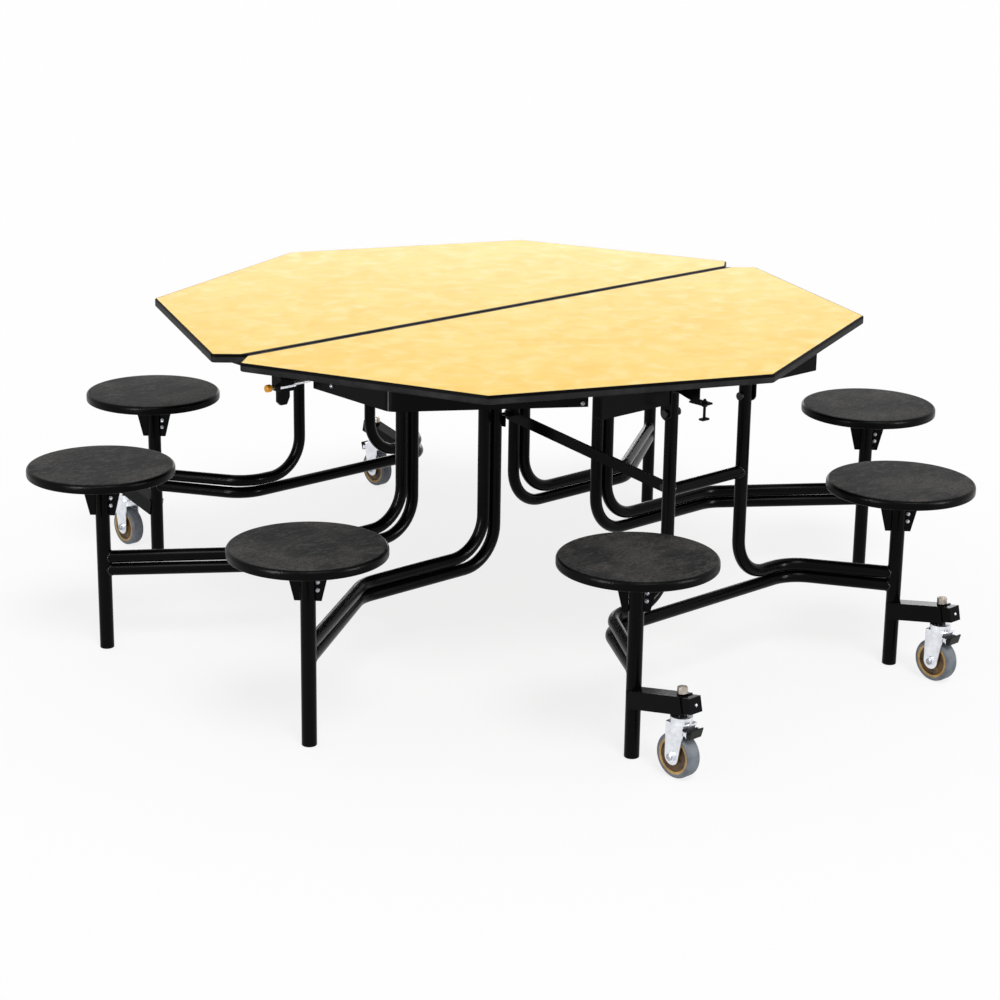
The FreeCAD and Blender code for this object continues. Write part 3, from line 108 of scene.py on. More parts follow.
class Graph:
    """Shared by finishes and geometry recipes: a node from its settings and values."""

    def node(self, kind, settings=(), values=()):
        made = self.tree.nodes.new(kind)
        for key, value in dict(settings).items():
            setattr(made, key, value)
        for key, value in dict(values).items():
            self.feed(made.inputs[key], value)
        return [Signal(self, out) for out in made.outputs if out.enabled]

    def feed(self, socket, value):
        if isinstance(value, Signal):
            self.tree.links.new(value.socket, socket)
        else:
            socket.default_value = value


class Finish(Graph):
    """One material: its patterns are Signals, and shade() feeds them to the shader."""

    def __init__(self, name):
        self.material = bpy.data.materials.new(name)
        self.material.use_nodes = True
        self.tree = self.material.node_tree
        self.shader = self.tree.nodes["Principled BSDF"]

    def shade(self, **values):
        for key, value in values.items():
            self.feed(self.shader.inputs[key.replace("_", " ")], value)
        return self

    def object_place(self):
        """Where a point lies in the object's own coordinates, which are the frame's."""
        return self.node("ShaderNodeTexCoord")[3]

    def place(self, scale=(1, 1, 1), turn=(0, 0, 0), shift=(0, 0, 0)):
        return self.node("ShaderNodeMapping", (), {"Vector": self.object_place(), "Scale": scale,
                                                  "Rotation": turn, "Location": shift})[0]

    def height(self):
        """Height above the floor, in metres."""
        return self.node("ShaderNodeSeparateXYZ", (), {"Vector": self.object_place()})[2]

    def noise(self, where, scale, detail=3.0, rough=0.5, warp=0.0):
        return self.node("ShaderNodeTexNoise", (), {"Vector": where, "Scale": scale, "Detail": detail,
                                                   "Roughness": rough, "Distortion": warp})[0]

    def cells(self, where, scale):
        return self.node("ShaderNodeTexVoronoi", (), {"Vector": where, "Scale": scale})[0]

    def mix(self, amount, first, second):
        """A colour between first and second; the sockets are those that the Mix node uses for RGBA."""
        made = self.tree.nodes.new("ShaderNodeMix")
        made.data_type = "RGBA"
        for key, value in ((0, amount), (6, first), (7, second)):
            self.feed(made.inputs[key], value)
        return Signal(self, made.outputs[2])

    def bump(self, height, distance):
        return self.node("ShaderNodeBump", (), {"Height": height, "Distance": distance})[0]


class Recipe(Graph):
    """A Geometry Nodes tree with named inputs."""

    KINDS = {float: "NodeSocketFloat", int: "NodeSocketInt", "finish": "NodeSocketMaterial"}

    def __init__(self, name, **inputs):
        self.tree = bpy.data.node_groups.new(name, "GeometryNodeTree")
        rows = self.tree.interface
        rows.new_socket("Geometry", in_out="INPUT", socket_type="NodeSocketGeometry")
        rows.new_socket("Geometry", in_out="OUTPUT", socket_type="NodeSocketGeometry")
        self.sockets = {label: rows.new_socket(label.replace("_", " "), in_out="INPUT",
                                               socket_type=self.KINDS[kind]).identifier
                        for label, kind in inputs.items()}
        entry = self.tree.nodes.new("NodeGroupInput")
        self.seed = Signal(self, entry.outputs[0])
        self.given = [Signal(self, entry.outputs[i + 1]) for i in range(len(inputs))]

    def lift(self, shape, height):
        """The shape moved up along its own axis."""
        shift = self.node("ShaderNodeCombineXYZ", (), {"Z": height})[0]
        return self.node("GeometryNodeTransform", (), {"Geometry": shape, "Translation": shift})[0]

    def disc(self, sides, radius, thick, base):
        shape = self.node("GeometryNodeMeshCylinder", (), {"Vertices": sides, "Radius": radius,
                                                          "Depth": thick})[0]
        return self.lift(shape, base + thick * 0.5)

    def taper(self, sides, wide, narrow, tall, base):
        shape = self.node("GeometryNodeMeshCone", (), {"Vertices": sides, "Radius Bottom": wide,
                                                      "Radius Top": narrow, "Depth": tall})[0]
        return self.lift(shape, base)

    def join(self, *shapes):
        joint = self.tree.nodes.new("GeometryNodeJoinGeometry")
        for shape in shapes:
            self.tree.links.new(shape.socket, joint.inputs[0])
        return Signal(self, joint.outputs[0])

    def finish_with(self, shape, material):
        """Close the tree: Realize Instances, then Set Material."""
        real = self.node("GeometryNodeRealizeInstances", (), {"Geometry": shape})[0]
        done = self.node("GeometryNodeSetMaterial", (), {"Geometry": real, "Material": material})[0]
        exit_node = self.tree.nodes.new("NodeGroupOutput")
        self.tree.links.new(done.socket, exit_node.inputs[0])
        return self

    def grow(self, name, points, edges=(), facing=None, **sizes):
        """The recipe run on a carrier of points or lines, kept as one plain mesh."""
        carrier = bpy.data.meshes.new(name + "_seed")
        carrier.from_pydata(points, edges, [])
        if facing:
            marks = carrier.attributes.new("facing", "FLOAT_VECTOR", "POINT")
            marks.data.foreach_set("vector", [v for direction in facing for v in direction])
        thing = bpy.data.objects.new(name + "_seed", carrier)
        bpy.context.scene.collection.objects.link(thing)
        modifier = thing.modifiers.new(self.tree.name, "NODES")
        modifier.node_group = self.tree
        for label, value in sizes.items():
            modifier[self.sockets[label]] = value
        ready = thing.evaluated_get(bpy.context.evaluated_depsgraph_get())
        mesh = bpy.data.meshes.new_from_object(ready)
        mesh.name = name
        thing.modifiers.clear()
        bpy.data.objects.remove(thing)
        return mesh


# --------------------------------------------------------------------------------- materials


def maple_laminate():
    """Pale maple print: soft round blotches, a few short fibres, brown backing underneath."""
    f = Finish("maple_laminate")
    along = math.radians(8)
    cloud = f.noise(f.place(), 5.0, warp=0.4)
    blotch = f.noise(f.place(scale=(1.0, 1.2, 1.0), turn=(0, 0, along)), 15.0, detail=2.5, warp=0.5)
    pale = f.noise(f.place(shift=(3.1, 1.7, 0)), 19.0, detail=2.5, warp=0.4)
    fibre = f.noise(f.place(scale=(1.0, 16.0, 1.0), turn=(0, 0, along)), 46.0, detail=2.0)
    print_colour = f.mix(cloud.between(0.34, 0.66), srgb(251, 206, 88), srgb(253, 213, 104))
    print_colour = f.mix(blotch.between(0.38, 0.78) * 0.8, print_colour, srgb(248, 198, 74))
    print_colour = f.mix(pale.between(0.42, 0.8) * 0.75, print_colour, srgb(255, 226, 144))
    print_colour = f.mix(fibre.between(0.5, 0.75) * 0.1, print_colour, srgb(226, 170, 74))
    backing = f.mix(cloud, srgb(92, 70, 50), srgb(74, 56, 42))
    face = f.height().between(*LAMINATE_FACE)
    return f.shade(Base_Color=f.mix(face, backing, print_colour), Roughness=0.22 + fibre * 0.06,
                   Specular_IOR_Level=0.04, Normal=f.bump(fibre, 0.00003)).material


def moulding_vinyl():
    """Satin black vinyl: black on its upper rounding and along the seam; the upright face is painted
    greyer as a sheen.
    """
    f = Finish("moulding_vinyl")
    grain = f.noise(f.place(), 900.0, detail=2.0)
    rub = f.noise(f.place(), 14.0, detail=4.0, rough=0.6)
    # face: a painted sheen, grey on the upright face, made uneven by the rub noise; above the shoulder
    # the vinyl's own black
    face = f.mix(rub.between(0.4, 0.75), srgb(38, 38, 39), srgb(54, 54, 55))
    upper = f.height().between(*MOULDING_SHOULDER)
    return f.shade(Base_Color=f.mix(upper, face, srgb(4, 4, 5)), Roughness=0.34 + rub * 0.16,
                   Specular_IOR_Level=0.02, Normal=f.bump(grain, 0.00006)).material


def gloss_enamel():
    """Black powder enamel: faint orange peel, an uneven film and specks of dust."""
    f = Finish("gloss_enamel")
    peel = f.noise(f.place(), 260.0, detail=2.0)
    film = f.noise(f.place(), 9.0)
    dust = f.noise(f.place(), 70.0, detail=4.0, rough=0.65)
    colour = f.mix(film, srgb(3, 3, 4), srgb(8, 8, 9))
    colour = f.mix(dust.between(0.58, 0.8) * 0.3, colour, srgb(20, 19, 19))
    return f.shade(Base_Color=colour, Roughness=0.15 + film * 0.1 + dust * 0.06,
                   Normal=f.bump(peel, 0.00006), Specular_IOR_Level=0.055).material


def seat_polymer():
    """Grained top with scuffs and fine scratches; below the shoulder it is smoother, and painted
    darker as shade.
    """
    f = Finish("seat_polymer")
    pebble = f.cells(f.place(), 300.0)
    grain = f.noise(f.place(), 170.0, detail=4.0, rough=0.75)
    scuff = f.noise(f.place(scale=(1, 1.8, 1)), 26.0, detail=6.0, rough=0.65, warp=0.9)
    scratch = f.noise(f.place(scale=(1, 14, 1), turn=(0, 0, 0.7)), 34.0, detail=4.0, rough=0.6,
                      warp=0.5)
    worn = f.noise(f.place(shift=(2.0, 0.4, 0)), 8.0)
    colour = f.mix(worn.between(0.38, 0.66), srgb(36, 36, 37), srgb(66, 65, 63))
    colour = f.mix(scuff.between(0.42, 0.7) * 0.6, colour, srgb(84, 82, 80))
    colour = f.mix(grain.between(0.44, 0.6) * 0.6, colour, srgb(22, 22, 23))
    colour = f.mix(scratch.between(0.6, 0.7) * 0.55, colour, srgb(112, 110, 106))
    top = f.height().between(*SEAT_SHOULDER)
    # painted shade: near-black (5, 5, 6) on the rim below the shoulder, while the top keeps its lit
    # grey
    colour = f.mix(top, srgb(5, 5, 6), colour)
    return f.shade(Base_Color=colour, Roughness=0.28 + top * (0.28 + scuff * 0.14),
                   Specular_IOR_Level=0.05, Normal=f.bump(pebble * 0.5 + grain * 0.5, 0.0004)).material


def zinc_plate(name, pale, deep, rough):
    """Bright plating: two close tones in clouds, and a fine spangle in the gloss."""
    f = Finish(name)
    spangle = f.cells(f.place(), 260.0)
    cloud = f.noise(f.place(), 60.0, detail=4.0, rough=0.6)
    colour = f.mix(cloud.between(0.3, 0.7), srgb(*deep), srgb(*pale))
    return f.shade(Base_Color=colour, Metallic=1.0, Roughness=rough + cloud * 0.12 + spangle * 0.05,
                   Normal=f.bump(cloud, 0.00006)).material


def fastener_steel():
    """Black oxide pins above, zinc caster stems below, with the stems' thread."""
    f = Finish("fastener_steel")
    cloud = f.noise(f.place(), 80.0, detail=4.0, rough=0.6)
    upper = f.height().between(*PINS_ABOVE_STEMS)
    thread = f.node("ShaderNodeTexWave", {"bands_direction": "Z"},
                    {"Vector": f.place(), "Scale": 160.0})[0]
    silver = f.mix(cloud, srgb(148, 140, 130), srgb(196, 188, 178))
    dark = f.mix(cloud, srgb(9, 9, 10), srgb(20, 20, 21))
    return f.shade(Base_Color=f.mix(upper, silver, dark), Metallic=1.0 - upper * 0.6,
                   Roughness=0.26 + cloud * 0.14,
                   Normal=f.bump(thread * (1 - upper), 0.0002)).material


def moulded(name, pale, deep, rough, grain_size=500.0, grain_depth=0.0001, gloss=0.35):
    """Plain plastic, rubber or paint: two close tones, a fine grain and uneven gloss."""
    f = Finish(name)
    grain = f.noise(f.place(), grain_size, rough=0.55)
    cloud = f.noise(f.place(), 40.0, detail=4.0, rough=0.6)
    colour = f.mix(cloud.between(0.3, 0.7), srgb(*deep), srgb(*pale))
    return f.shade(Base_Color=colour, Roughness=rough + cloud * 0.14, Specular_IOR_Level=gloss,
                   Normal=f.bump(grain, grain_depth)).material


LAMINATE = maple_laminate()
VINYL = moulding_vinyl()
ENAMEL = gloss_enamel()
POLYMER = seat_polymer()
ZINC = zinc_plate("zinc_plate", (234, 236, 240), (212, 215, 221), rough=0.2)
BOLT_STEEL = zinc_plate("bolt_steel", (186, 188, 192), (138, 140, 146), rough=0.34)
FASTENER = fastener_steel()
WELD = moulded("weld_enamel", (10, 10, 11), (4, 4, 5), rough=0.2, grain_size=320.0,
               grain_depth=0.0005, gloss=0.3)
TYRE = moulded("tyre_rubber", (116, 122, 130), (92, 98, 106), rough=0.55, grain_size=700.0,
               grain_depth=0.00012)
HUB_TAN = moulded("hub_tan", (196, 160, 98), (158, 122, 66), rough=0.4)
HUB_DARK = moulded("hub_dark", (112, 82, 38), (30, 24, 18), rough=0.45)
KNOB_ORANGE = moulded("knob_orange", (255, 178, 20), (246, 160, 12), rough=0.25, gloss=0.4)
# light grey of the painted highlight on the rails' corners
CORNER_GLINT_GREY = moulded("painted_corner_glint", (128, 128, 131), (100, 100, 103), rough=0.3)
BLACK_PLASTIC = moulded("black_plastic", (14, 14, 16), (6, 6, 7), rough=0.34, gloss=0.15)

FINISHES = {"laminate": LAMINATE, "edge_moulding": VINYL, "seat_plastic": POLYMER, "zinc": ZINC,
            "tyre": TYRE, "black_plastic": BLACK_PLASTIC, "orange_plastic": KNOB_ORANGE,
            "black_steel": ENAMEL}


def dress_nodes():
    """Every CAD node gets the finish of its material slot, and the frames' pins their own."""
    for part in frame["record"]["subparts"]:
        pins = part["node"].endswith(("_frame_pins", "_center_pins"))
        finishes = NODES[part["node"]].data.materials
        finishes.clear()
        finishes.append(FASTENER if pins else FINISHES[part["material_slot"]])


# ------------------------------------------------------------------------------- small tools


def add_piece(name, mesh, body, slot, *stands_for):
    piece = bpy.data.objects.new(name, mesh)
    bpy.context.scene.collection.objects.link(piece)
    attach(piece, body)
    if stands_for:
        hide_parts(*stands_for)


def mesh_of(name, shape, materials):
    """The finished mesh of a bmesh, smooth apart from its sharp edges."""
    for face in shape.faces:
        face.smooth = True
    mesh = bpy.data.meshes.new(name)
    shape.to_mesh(mesh)
    shape.free()
    for material in materials:
        mesh.materials.append(material)
    mesh.set_sharp_from_angle(angle=SHARP_EDGE)
    return mesh


def lathe(name, profile, place, around, materials, bands=None):
    """Closed turned form: profile is (radius, along) pairs about Z, carried to its spot by place.

    A radius of 0 is a single point on the axis, and a profile that never comes to the axis is
    closed on itself. bands gives the material number of each stretch of the profile."""
    shape = bmesh.new()
    angles = [2 * math.pi * k / around for k in range(around)]
    hoops = [[shape.verts.new(place @ Vector((radius * math.cos(a), radius * math.sin(a), along)))
              for a in (angles if radius else angles[:1])] for radius, along in profile]
    ring_shaped = profile[0][0] and profile[-1][0]
    for i in range(len(hoops) if ring_shaped else len(hoops) - 1):
        low, high = hoops[i], hoops[(i + 1) % len(hoops)]
        for k in range(around):
            n = (k + 1) % around
            corners = [low[k % len(low)], low[n % len(low)], high[n % len(high)], high[k % len(high)]]
            corners = list(dict.fromkeys(corners))
            if len(corners) > 2:
                face = shape.faces.new(corners)
                face.material_index = bands[i] if bands else 0
    bmesh.ops.recalc_face_normals(shape, faces=shape.faces)
    return mesh_of(name, shape, materials)


def slab(name, low, high, rounding, material):
    """Flat bar between two corners, its edges rounded."""
    low, high = Vector(low), Vector(high)
    shape = bmesh.new()
    size = Matrix.Diagonal((high - low).to_4d())
    size[3][3] = 1
    bmesh.ops.create_cube(shape, size=1, matrix=Matrix.Translation((low + high) / 2) @ size)
    bmesh.ops.bevel(shape, geom=shape.edges[:], offset=rounding, segments=2, affect="EDGES")
    return mesh_of(name, shape, [material])


def arc(centre, radius, start, stop, steps):
    """Points of a circle, angles in degrees."""
    angles = [math.radians(start + (stop - start) * k / steps) for k in range(steps + 1)]
    return [(centre[0] + radius * math.cos(a), centre[1] + radius * math.sin(a)) for a in angles]


# ------------------------------------------------------------------------------------- seats

SEATS = {"front_left": (-END_SEAT_X, -END_SEAT_Y, "front_frame"),
         "front_right": (END_SEAT_X, -END_SEAT_Y, "front_frame"),
         "side_front_left": (-SIDE_SEAT_X, -SIDE_SEAT_Y, "front_center"),
         "side_front_right": (SIDE_SEAT_X, -SIDE_SEAT_Y, "front_center"),
         "side_back_left": (-SIDE_SEAT_X, SIDE_SEAT_Y, "back_center"),
         "side_back_right": (SIDE_SEAT_X, SIDE_SEAT_Y, "back_center"),
         "back_left": (-END_SEAT_X, END_SEAT_Y, "back_frame"),
         "back_right": (END_SEAT_X, END_SEAT_Y, "back_frame")}

# radius and height: level top and short shoulder, rolled rim, hollow underside, boss and its bore
SEAT_OUTLINE = ([(0.0, 0.4340), (0.10, 0.4340), (0.144, 0.4339), (0.1515, 0.4336)]
                + arc((0.1570, 0.4256), 0.0080, 84, 0, 8) + arc((0.1620, 0.4160), 0.0030, 0, -90, 4)
                + [(0.1600, 0.4130), (0.1600, 0.4265), (0.0280, 0.4265), (0.0280, 0.4088),
                   (0.0101, 0.4088), (0.0101, 0.4222), (0.0, 0.4222)])


def make_seats():
    for where, (x, y, _) in SEATS.items():
        mesh = lathe("seat_shell_" + where, SEAT_OUTLINE, Matrix.Translation((x, y, 0)), 128,
                     [POLYMER])
        add_piece("seat_shell_" + where, mesh, "seat_" + where, "seat_plastic", "seat_" + where)


# ------------------------------------------------------------------------------------ wheels

CASTERS = {"front_left": (-END_SEAT_X, -CASTER_Y), "front_right": (END_SEAT_X, -CASTER_Y),
           "back_left": (-END_SEAT_X, CASTER_Y), "back_right": (END_SEAT_X, CASTER_Y)}

WHEEL_FINISHES = [TYRE, HUB_TAN, HUB_DARK, ZINC]
TREAD_BAND, TAN_BAND, DARK_BAND, BORE_BAND = range(len(WHEEL_FINISHES))

# half of the section across the axle: radius, and distance from the wheel's middle
HUB_SECTION = [(0.00605, 0.0160), (0.0125, 0.0160), (0.0130, 0.0155), (0.0135, 0.0124),
               (0.0310, 0.0120), (0.0335, 0.0152), (0.0382, 0.0156)]
HUB_BANDS = [TAN_BAND] * 2 + [DARK_BAND] * 3 + [TAN_BAND] * 2
TYRE_SECTION = [(0.0388, 0.0158)] + arc((0.0412, 0.0092), 0.0068, 85, 0, 8)


def wheel_outline():
    """Whole section across the axle, and the finish of each stretch of it."""
    right = HUB_SECTION + TYRE_SECTION
    left = [(radius, -along) for radius, along in reversed(right)]
    bands = HUB_BANDS + [TREAD_BAND] * (len(TYRE_SECTION) - 1)
    return right + left, bands + [TREAD_BAND] + bands[::-1] + [BORE_BAND]


def make_wheels():
    outline, bands = wheel_outline()
    for where, (x, y) in CASTERS.items():
        axle = Matrix.Translation((x, y, AXLE_HEIGHT)) @ Matrix.Rotation(math.radians(90), 4, "Y")
        mesh = lathe("wheel_" + where, outline, axle, 96, WHEEL_FINISHES, bands)
        add_piece("caster_roller_" + where, mesh, "wheel_" + where, "tyre", "caster_wheel_" + where)


# -------------------------------------------------------- fasteners and welds, from recipes

HEXAGON_CORNER = 0.577      # a hexagon's corner radius, for a width of 1 across its flats
DIAGONAL = 0.7071           # both parts of a level direction at 45 degrees

# width across the head, head height, washer radius and thickness, sides of the head
BRACKET_BOLT = {"across": 0.0070, "head": 0.0040, "washer": 0.0042, "plate": 0.0010, "sides": 6,
                "finish": BOLT_STEEL}
RAIL_BOLT = {"across": 0.0070, "head": 0.0030, "washer": 0.0046, "plate": 0.0008, "sides": 6,
             "finish": BOLT_STEEL}
AXLE_NUT = {"across": 0.0140, "head": 0.0055, "washer": 0.0092, "plate": 0.0012, "sides": 6,
            "finish": BOLT_STEEL}
PLUG_SCREW = {"across": 0.0062, "head": 0.0018, "washer": 0.0030, "plate": 0.0004, "sides": 4,
              "finish": BOLT_STEEL}
BOARD_SCREW = {"across": 0.0078, "head": 0.0030, "washer": 0.0062, "plate": 0.0008, "sides": 20,
               "finish": ZINC}

# radius of a bead, and how much of it the ripple takes or adds
HAND_WELD = {"bead": 0.0016, "ripple": 0.5, "finish": WELD}
# thin grey bead that paints the highlight on each rail corner
CORNER_GLINT_BEAD = {"bead": 0.0012, "ripple": 0.1, "finish": CORNER_GLINT_GREY}


def bolt_recipe():
    """Bolt head on its washer at each point, looking the way the point's facing says."""
    g = Recipe("bolt_heads", across=float, head=float, washer=float, plate=float, sides=int,
               finish="finish")
    across, head, washer, plate, sides, finish = g.given
    shape = g.join(g.disc(20, washer, plate, 0.0),
                   g.disc(sides, across * HEXAGON_CORNER, head, plate * 0.9),
                   g.taper(20, across * 0.46, across * 0.32, head * 0.2, plate * 0.9 + head))
    facing = g.node("GeometryNodeInputNamedAttribute", {"data_type": "FLOAT_VECTOR"},
                    {"Name": "facing"})[0]
    turn = g.node("FunctionNodeAlignRotationToVector", {"axis": "Z"}, {"Vector": facing})[0]
    heads = g.node("GeometryNodeInstanceOnPoints", (), {"Points": g.seed, "Instance": shape,
                                                       "Rotation": turn})[0]
    return g.finish_with(heads, finish)


def weld_recipe():
    """Bead along each line of the carrier, with the slight ripple of a hand weld."""
    g = Recipe("weld_beads", bead=float, ripple=float, finish="finish")
    bead, ripple, finish = g.given
    path = g.node("GeometryNodeMeshToCurve", (), {"Mesh": g.seed})[0]
    where = g.node("GeometryNodeInputPosition")[0]
    uneven = g.node("ShaderNodeTexNoise", (), {"Vector": where, "Scale": 260.0, "Detail": 0.0})[0]
    path = g.node("GeometryNodeSetCurveRadius", (), {"Curve": path,
                                                    "Radius": (uneven - 0.5) * ripple + 1.0})[0]
    ring = g.node("GeometryNodeCurvePrimitiveCircle", (), {"Resolution": 8, "Radius": bead})[0]
    body = g.node("GeometryNodeCurveToMesh", (), {"Curve": path, "Profile Curve": ring})[0]
    smooth = g.node("GeometryNodeSetShadeSmooth", (), {"Geometry": body})[0]
    return g.finish_with(smooth, finish)


BOLTS = bolt_recipe()
WELDS = weld_recipe()


def add_bolts(name, body, spots, kind):
    """One piece of bolts, nuts or screws; spots is a list of (place, facing)."""
    places, facings = zip(*spots)
    add_piece(name, BOLTS.grow(name, places, facing=facings, **kind), body, "zinc")


def add_beads(name, body, lines, kind, closed=True):
    """One piece of weld beads, along lines of points that close on themselves or are open."""
    points, edges = [], []
    for line in lines:
        first, count = len(points), len(line)
        points += line
        edges += [(first + k, first + (k + 1) % count) for k in range(count if closed else count - 1)]
    add_piece(name, WELDS.grow(name, points, edges, **kind), body, "black_steel")


def saddle(post, toward, height, tube, across):
    """Line where a level tube of radius tube meets an upright one of radius across.

    toward is a point on the level tube's line, which lies at the given height."""
    steps, lift = 36, 0.0004
    ahead = (Vector(toward) - Vector(post)).normalized()
    side = Vector((-ahead.y, ahead.x))
    line = []
    for k in range(steps):
        angle = 2 * math.pi * k / steps
        reach = tube * math.cos(angle)
        out = math.sqrt(max(across ** 2 - reach ** 2, 0)) + lift
        spot = Vector(post) + side * reach + ahead * out
        line.append((spot.x, spot.y, height + tube * math.sin(angle)))
    return line


# for each pair of uprights: their plane; their seat post; where the straight runs of its upper
# and lower arm begin; the inner upright, and the height and radius of the cross tube on it
WELDED = {"_frame": (FRAME_PLANE, (END_SEAT_X, END_SEAT_Y), (0.280, 0.288),
                     (0.115, 0.465, RUNG_RADIUS)),
          "_center": (CENTER_PLANE, (SIDE_SEAT_X, SIDE_SEAT_Y), (0.550, 0.558),
                      (0.163, 0.640, TUBE_RADIUS))}


def make_welds():
    """Beads round the arms at each seat post, and round the cross tube's ends."""
    for half, sign in SIDES.items():
        for kind, (plane, (seat_x, seat_y), arms, (upright, level, cross_tube)) in WELDED.items():
            y, lines = sign * plane, []
            for side in (-1, 1):
                post = (side * seat_x, sign * seat_y)
                lines += [saddle(post, (side * x, y), height, TUBE_RADIUS, POST_RADIUS)
                          for x, height in zip(arms, (UPPER_ARM, LOWER_ARM))]
                lines.append(saddle((side * upright, y), (0, y), level, cross_tube, TUBE_RADIUS))
            add_beads(half + kind + "_welds", half + kind, lines, HAND_WELD)


def make_bracket_bolts():
    """Two bright bolts in one wing of each seat bracket, and in the wing across from it."""
    reach_and_height = ((0.0210, 0.3570), (0.0205, 0.3400))
    wing_face = 0.0026
    groups = {}
    for x, y, body in SEATS.values():
        spots = groups.setdefault(body, [])
        for turn in (1, -1):
            wing = Vector((DIAGONAL, -DIAGONAL)) * turn
            face = Vector((-DIAGONAL, -DIAGONAL)) * turn
            for reach, height in reach_and_height:
                spot = Vector((x, y)) + wing * reach + face * wing_face
                spots.append(((spot.x, spot.y, height), (face.x, face.y, 0)))
    for body, spots in groups.items():
        add_bolts(body + "_bracket_bolts", body, spots, BRACKET_BOLT)


def make_board_screws():
    """Screws up into the boards through rails, stub channels, ear flanges and hinge leaves."""
    under_flanges, under_leaves, leaf_y = 0.7146, 0.7136, 0.036
    flange_spots = ((0.620, 0.130), (0.620, 0.270), (0.545, 0.379), (0.420, 0.462), (0.318, 0.530),
                    (0.185, 0.645), (0.300, 0.645))
    leaf_spots = (0.312, 0.330, 0.348)
    for half, sign in SIDES.items():
        places = []
        for side in (-1, 1):
            places += [(side * x, sign * y, under_flanges) for x, y in flange_spots]
            places += [(side * x, sign * leaf_y, under_leaves) for x in leaf_spots]
        add_bolts(half + "_board_screws", half + "_half", [(place, (0, 0, -1)) for place in places],
                  BOARD_SCREW)


def make_fork_nuts():
    """Axle bolt heads and nuts on the fork plates."""
    fork_face = 0.0205
    for where, (x, y) in CASTERS.items():
        spots = [((x + turn * fork_face, y, AXLE_HEIGHT), (turn, 0, 0)) for turn in (-1, 1)]
        add_bolts("axle_nuts_" + where, "caster_" + where, spots, AXLE_NUT)


def make_arm_plug_screws():
    """Square head in the middle of each caster arm's end plug, which leans back by the tilt."""
    tilt, plug_y, plug_height = math.radians(12), 1.0222, 0.1661
    for half, sign in SIDES.items():
        facing = (0, sign * math.cos(tilt), math.sin(tilt))
        spots = [((side * END_SEAT_X, sign * plug_y, plug_height), facing) for side in (-1, 1)]
        add_bolts(half + "_plug_screws", half + "_frame", spots, PLUG_SCREW)


def make_rail_bolts():
    """Bolts on the outer faces of the side rails and of the diagonal rails' ends."""
    rail_face, diagonal_end, half_thick = (0.6325, 0.144, 0.678), (0.286, 0.5465, 0.668), 0.0125
    for half, sign in SIDES.items():
        spots = []
        for side in (-1, 1):
            outward = Vector((side * 0.547, sign * 0.837, 0))
            turned = Vector((side, sign, 1))
            end = Vector(diagonal_end) * turned + outward * half_thick
            spots += [(tuple(Vector(rail_face) * turned), (side, 0, 0)), (tuple(end), outward[:])]
        add_bolts(half + "_rail_bolts", half + "_half", spots, RAIL_BOLT)


def make_rail_corner_glints():
    """Upright light line where each side rail turns into its diagonal: a grey bead at the joint that
    paints the corner's highlight.
    """
    x, y, low, high = 0.6308, 0.3287, 0.6606, 0.7170
    for half, sign in SIDES.items():
        lines = [[(side * x, sign * y, z) for z in (low, high)] for side in (-1, 1)]
        add_beads(half + "_rail_corner_glints", half + "_half", lines, CORNER_GLINT_BEAD, closed=False)


# --------------------------------------------------------------------- lock and brake pedals

# radius, and distance from the table's middle along the pull rod: ferrule, then the domed knob
KNOB_OUTLINE = ([(0.0, 0.6940), (0.0058, 0.6940), (0.0062, 0.6962)]
                + arc((0.0060, 0.6986), 0.0022, -80, 0, 5) + arc((0.0056, 0.7068), 0.0026, 0, 80, 6)
                + [(0.0, 0.7098)])
GUIDE_STRIP = ((-0.6875, -0.0382, 0.6585), (-0.6460, -0.0360, 0.6635))


def make_lock():
    """Domed pull knob on a zinc ferrule, and the flat guide strip on the lock block."""
    rod = Matrix.Translation((0, ROD_Y, ROD_HEIGHT)) @ Matrix.Rotation(math.radians(-90), 4, "Y")
    bands = [1, 1] + [0] * (len(KNOB_OUTLINE) - 3)
    mesh = lathe("lock_pull_knob", KNOB_OUTLINE, rod, 64, [KNOB_ORANGE, ZINC], bands)
    add_piece("lock_pull_knob", mesh, "lock", "orange_plastic", "lock_knob")
    strip = slab("lock_guide_strip", *GUIDE_STRIP, 0.0005, ZINC)
    add_piece("lock_guide_strip", strip, "front_half", "zinc")


def make_pedals():
    """Brake pedal with rounded edges, drawn in and lowered beyond its barrel."""
    drawn_in, lowered, rounding = 0.5, 0.35, 0.0007
    for where in CASTERS:
        sign = SIDES[where.split("_")[0]]
        shape = bmesh.new()
        shape.from_mesh(NODES["caster_pedal_" + where].data)
        bmesh.ops.remove_doubles(shape, verts=shape.verts, dist=1e-6)
        bmesh.ops.dissolve_limit(shape, angle_limit=math.radians(1), verts=shape.verts,
                                 edges=shape.edges)
        for corner in shape.verts:
            beyond = max(abs(corner.co.y) - PEDAL_BARREL_END, 0)
            corner.co.y -= sign * beyond * drawn_in
            if beyond:
                corner.co.z -= max(corner.co.z - PEDAL_HINGE_HEIGHT, 0) * lowered
        sharp = [edge for edge in shape.edges if edge.calc_face_angle(0) > math.radians(30)]
        bmesh.ops.bevel(shape, geom=sharp, offset=rounding, segments=2, affect="EDGES",
                        clamp_overlap=True)
        mesh = mesh_of("brake_pedal_" + where, shape, [BLACK_PLASTIC])
        add_piece("brake_pedal_" + where, mesh, "pedal_" + where, "black_plastic",
                  "caster_pedal_" + where)


dress_nodes()
make_seats()
make_wheels()
make_welds()
make_bracket_bolts()
make_board_screws()
make_fork_nuts()
make_arm_plug_screws()
make_rail_bolts()
make_rail_corner_glints()
make_lock()
make_pedals()

# ---------------------------------------------------------------------------- stage and view


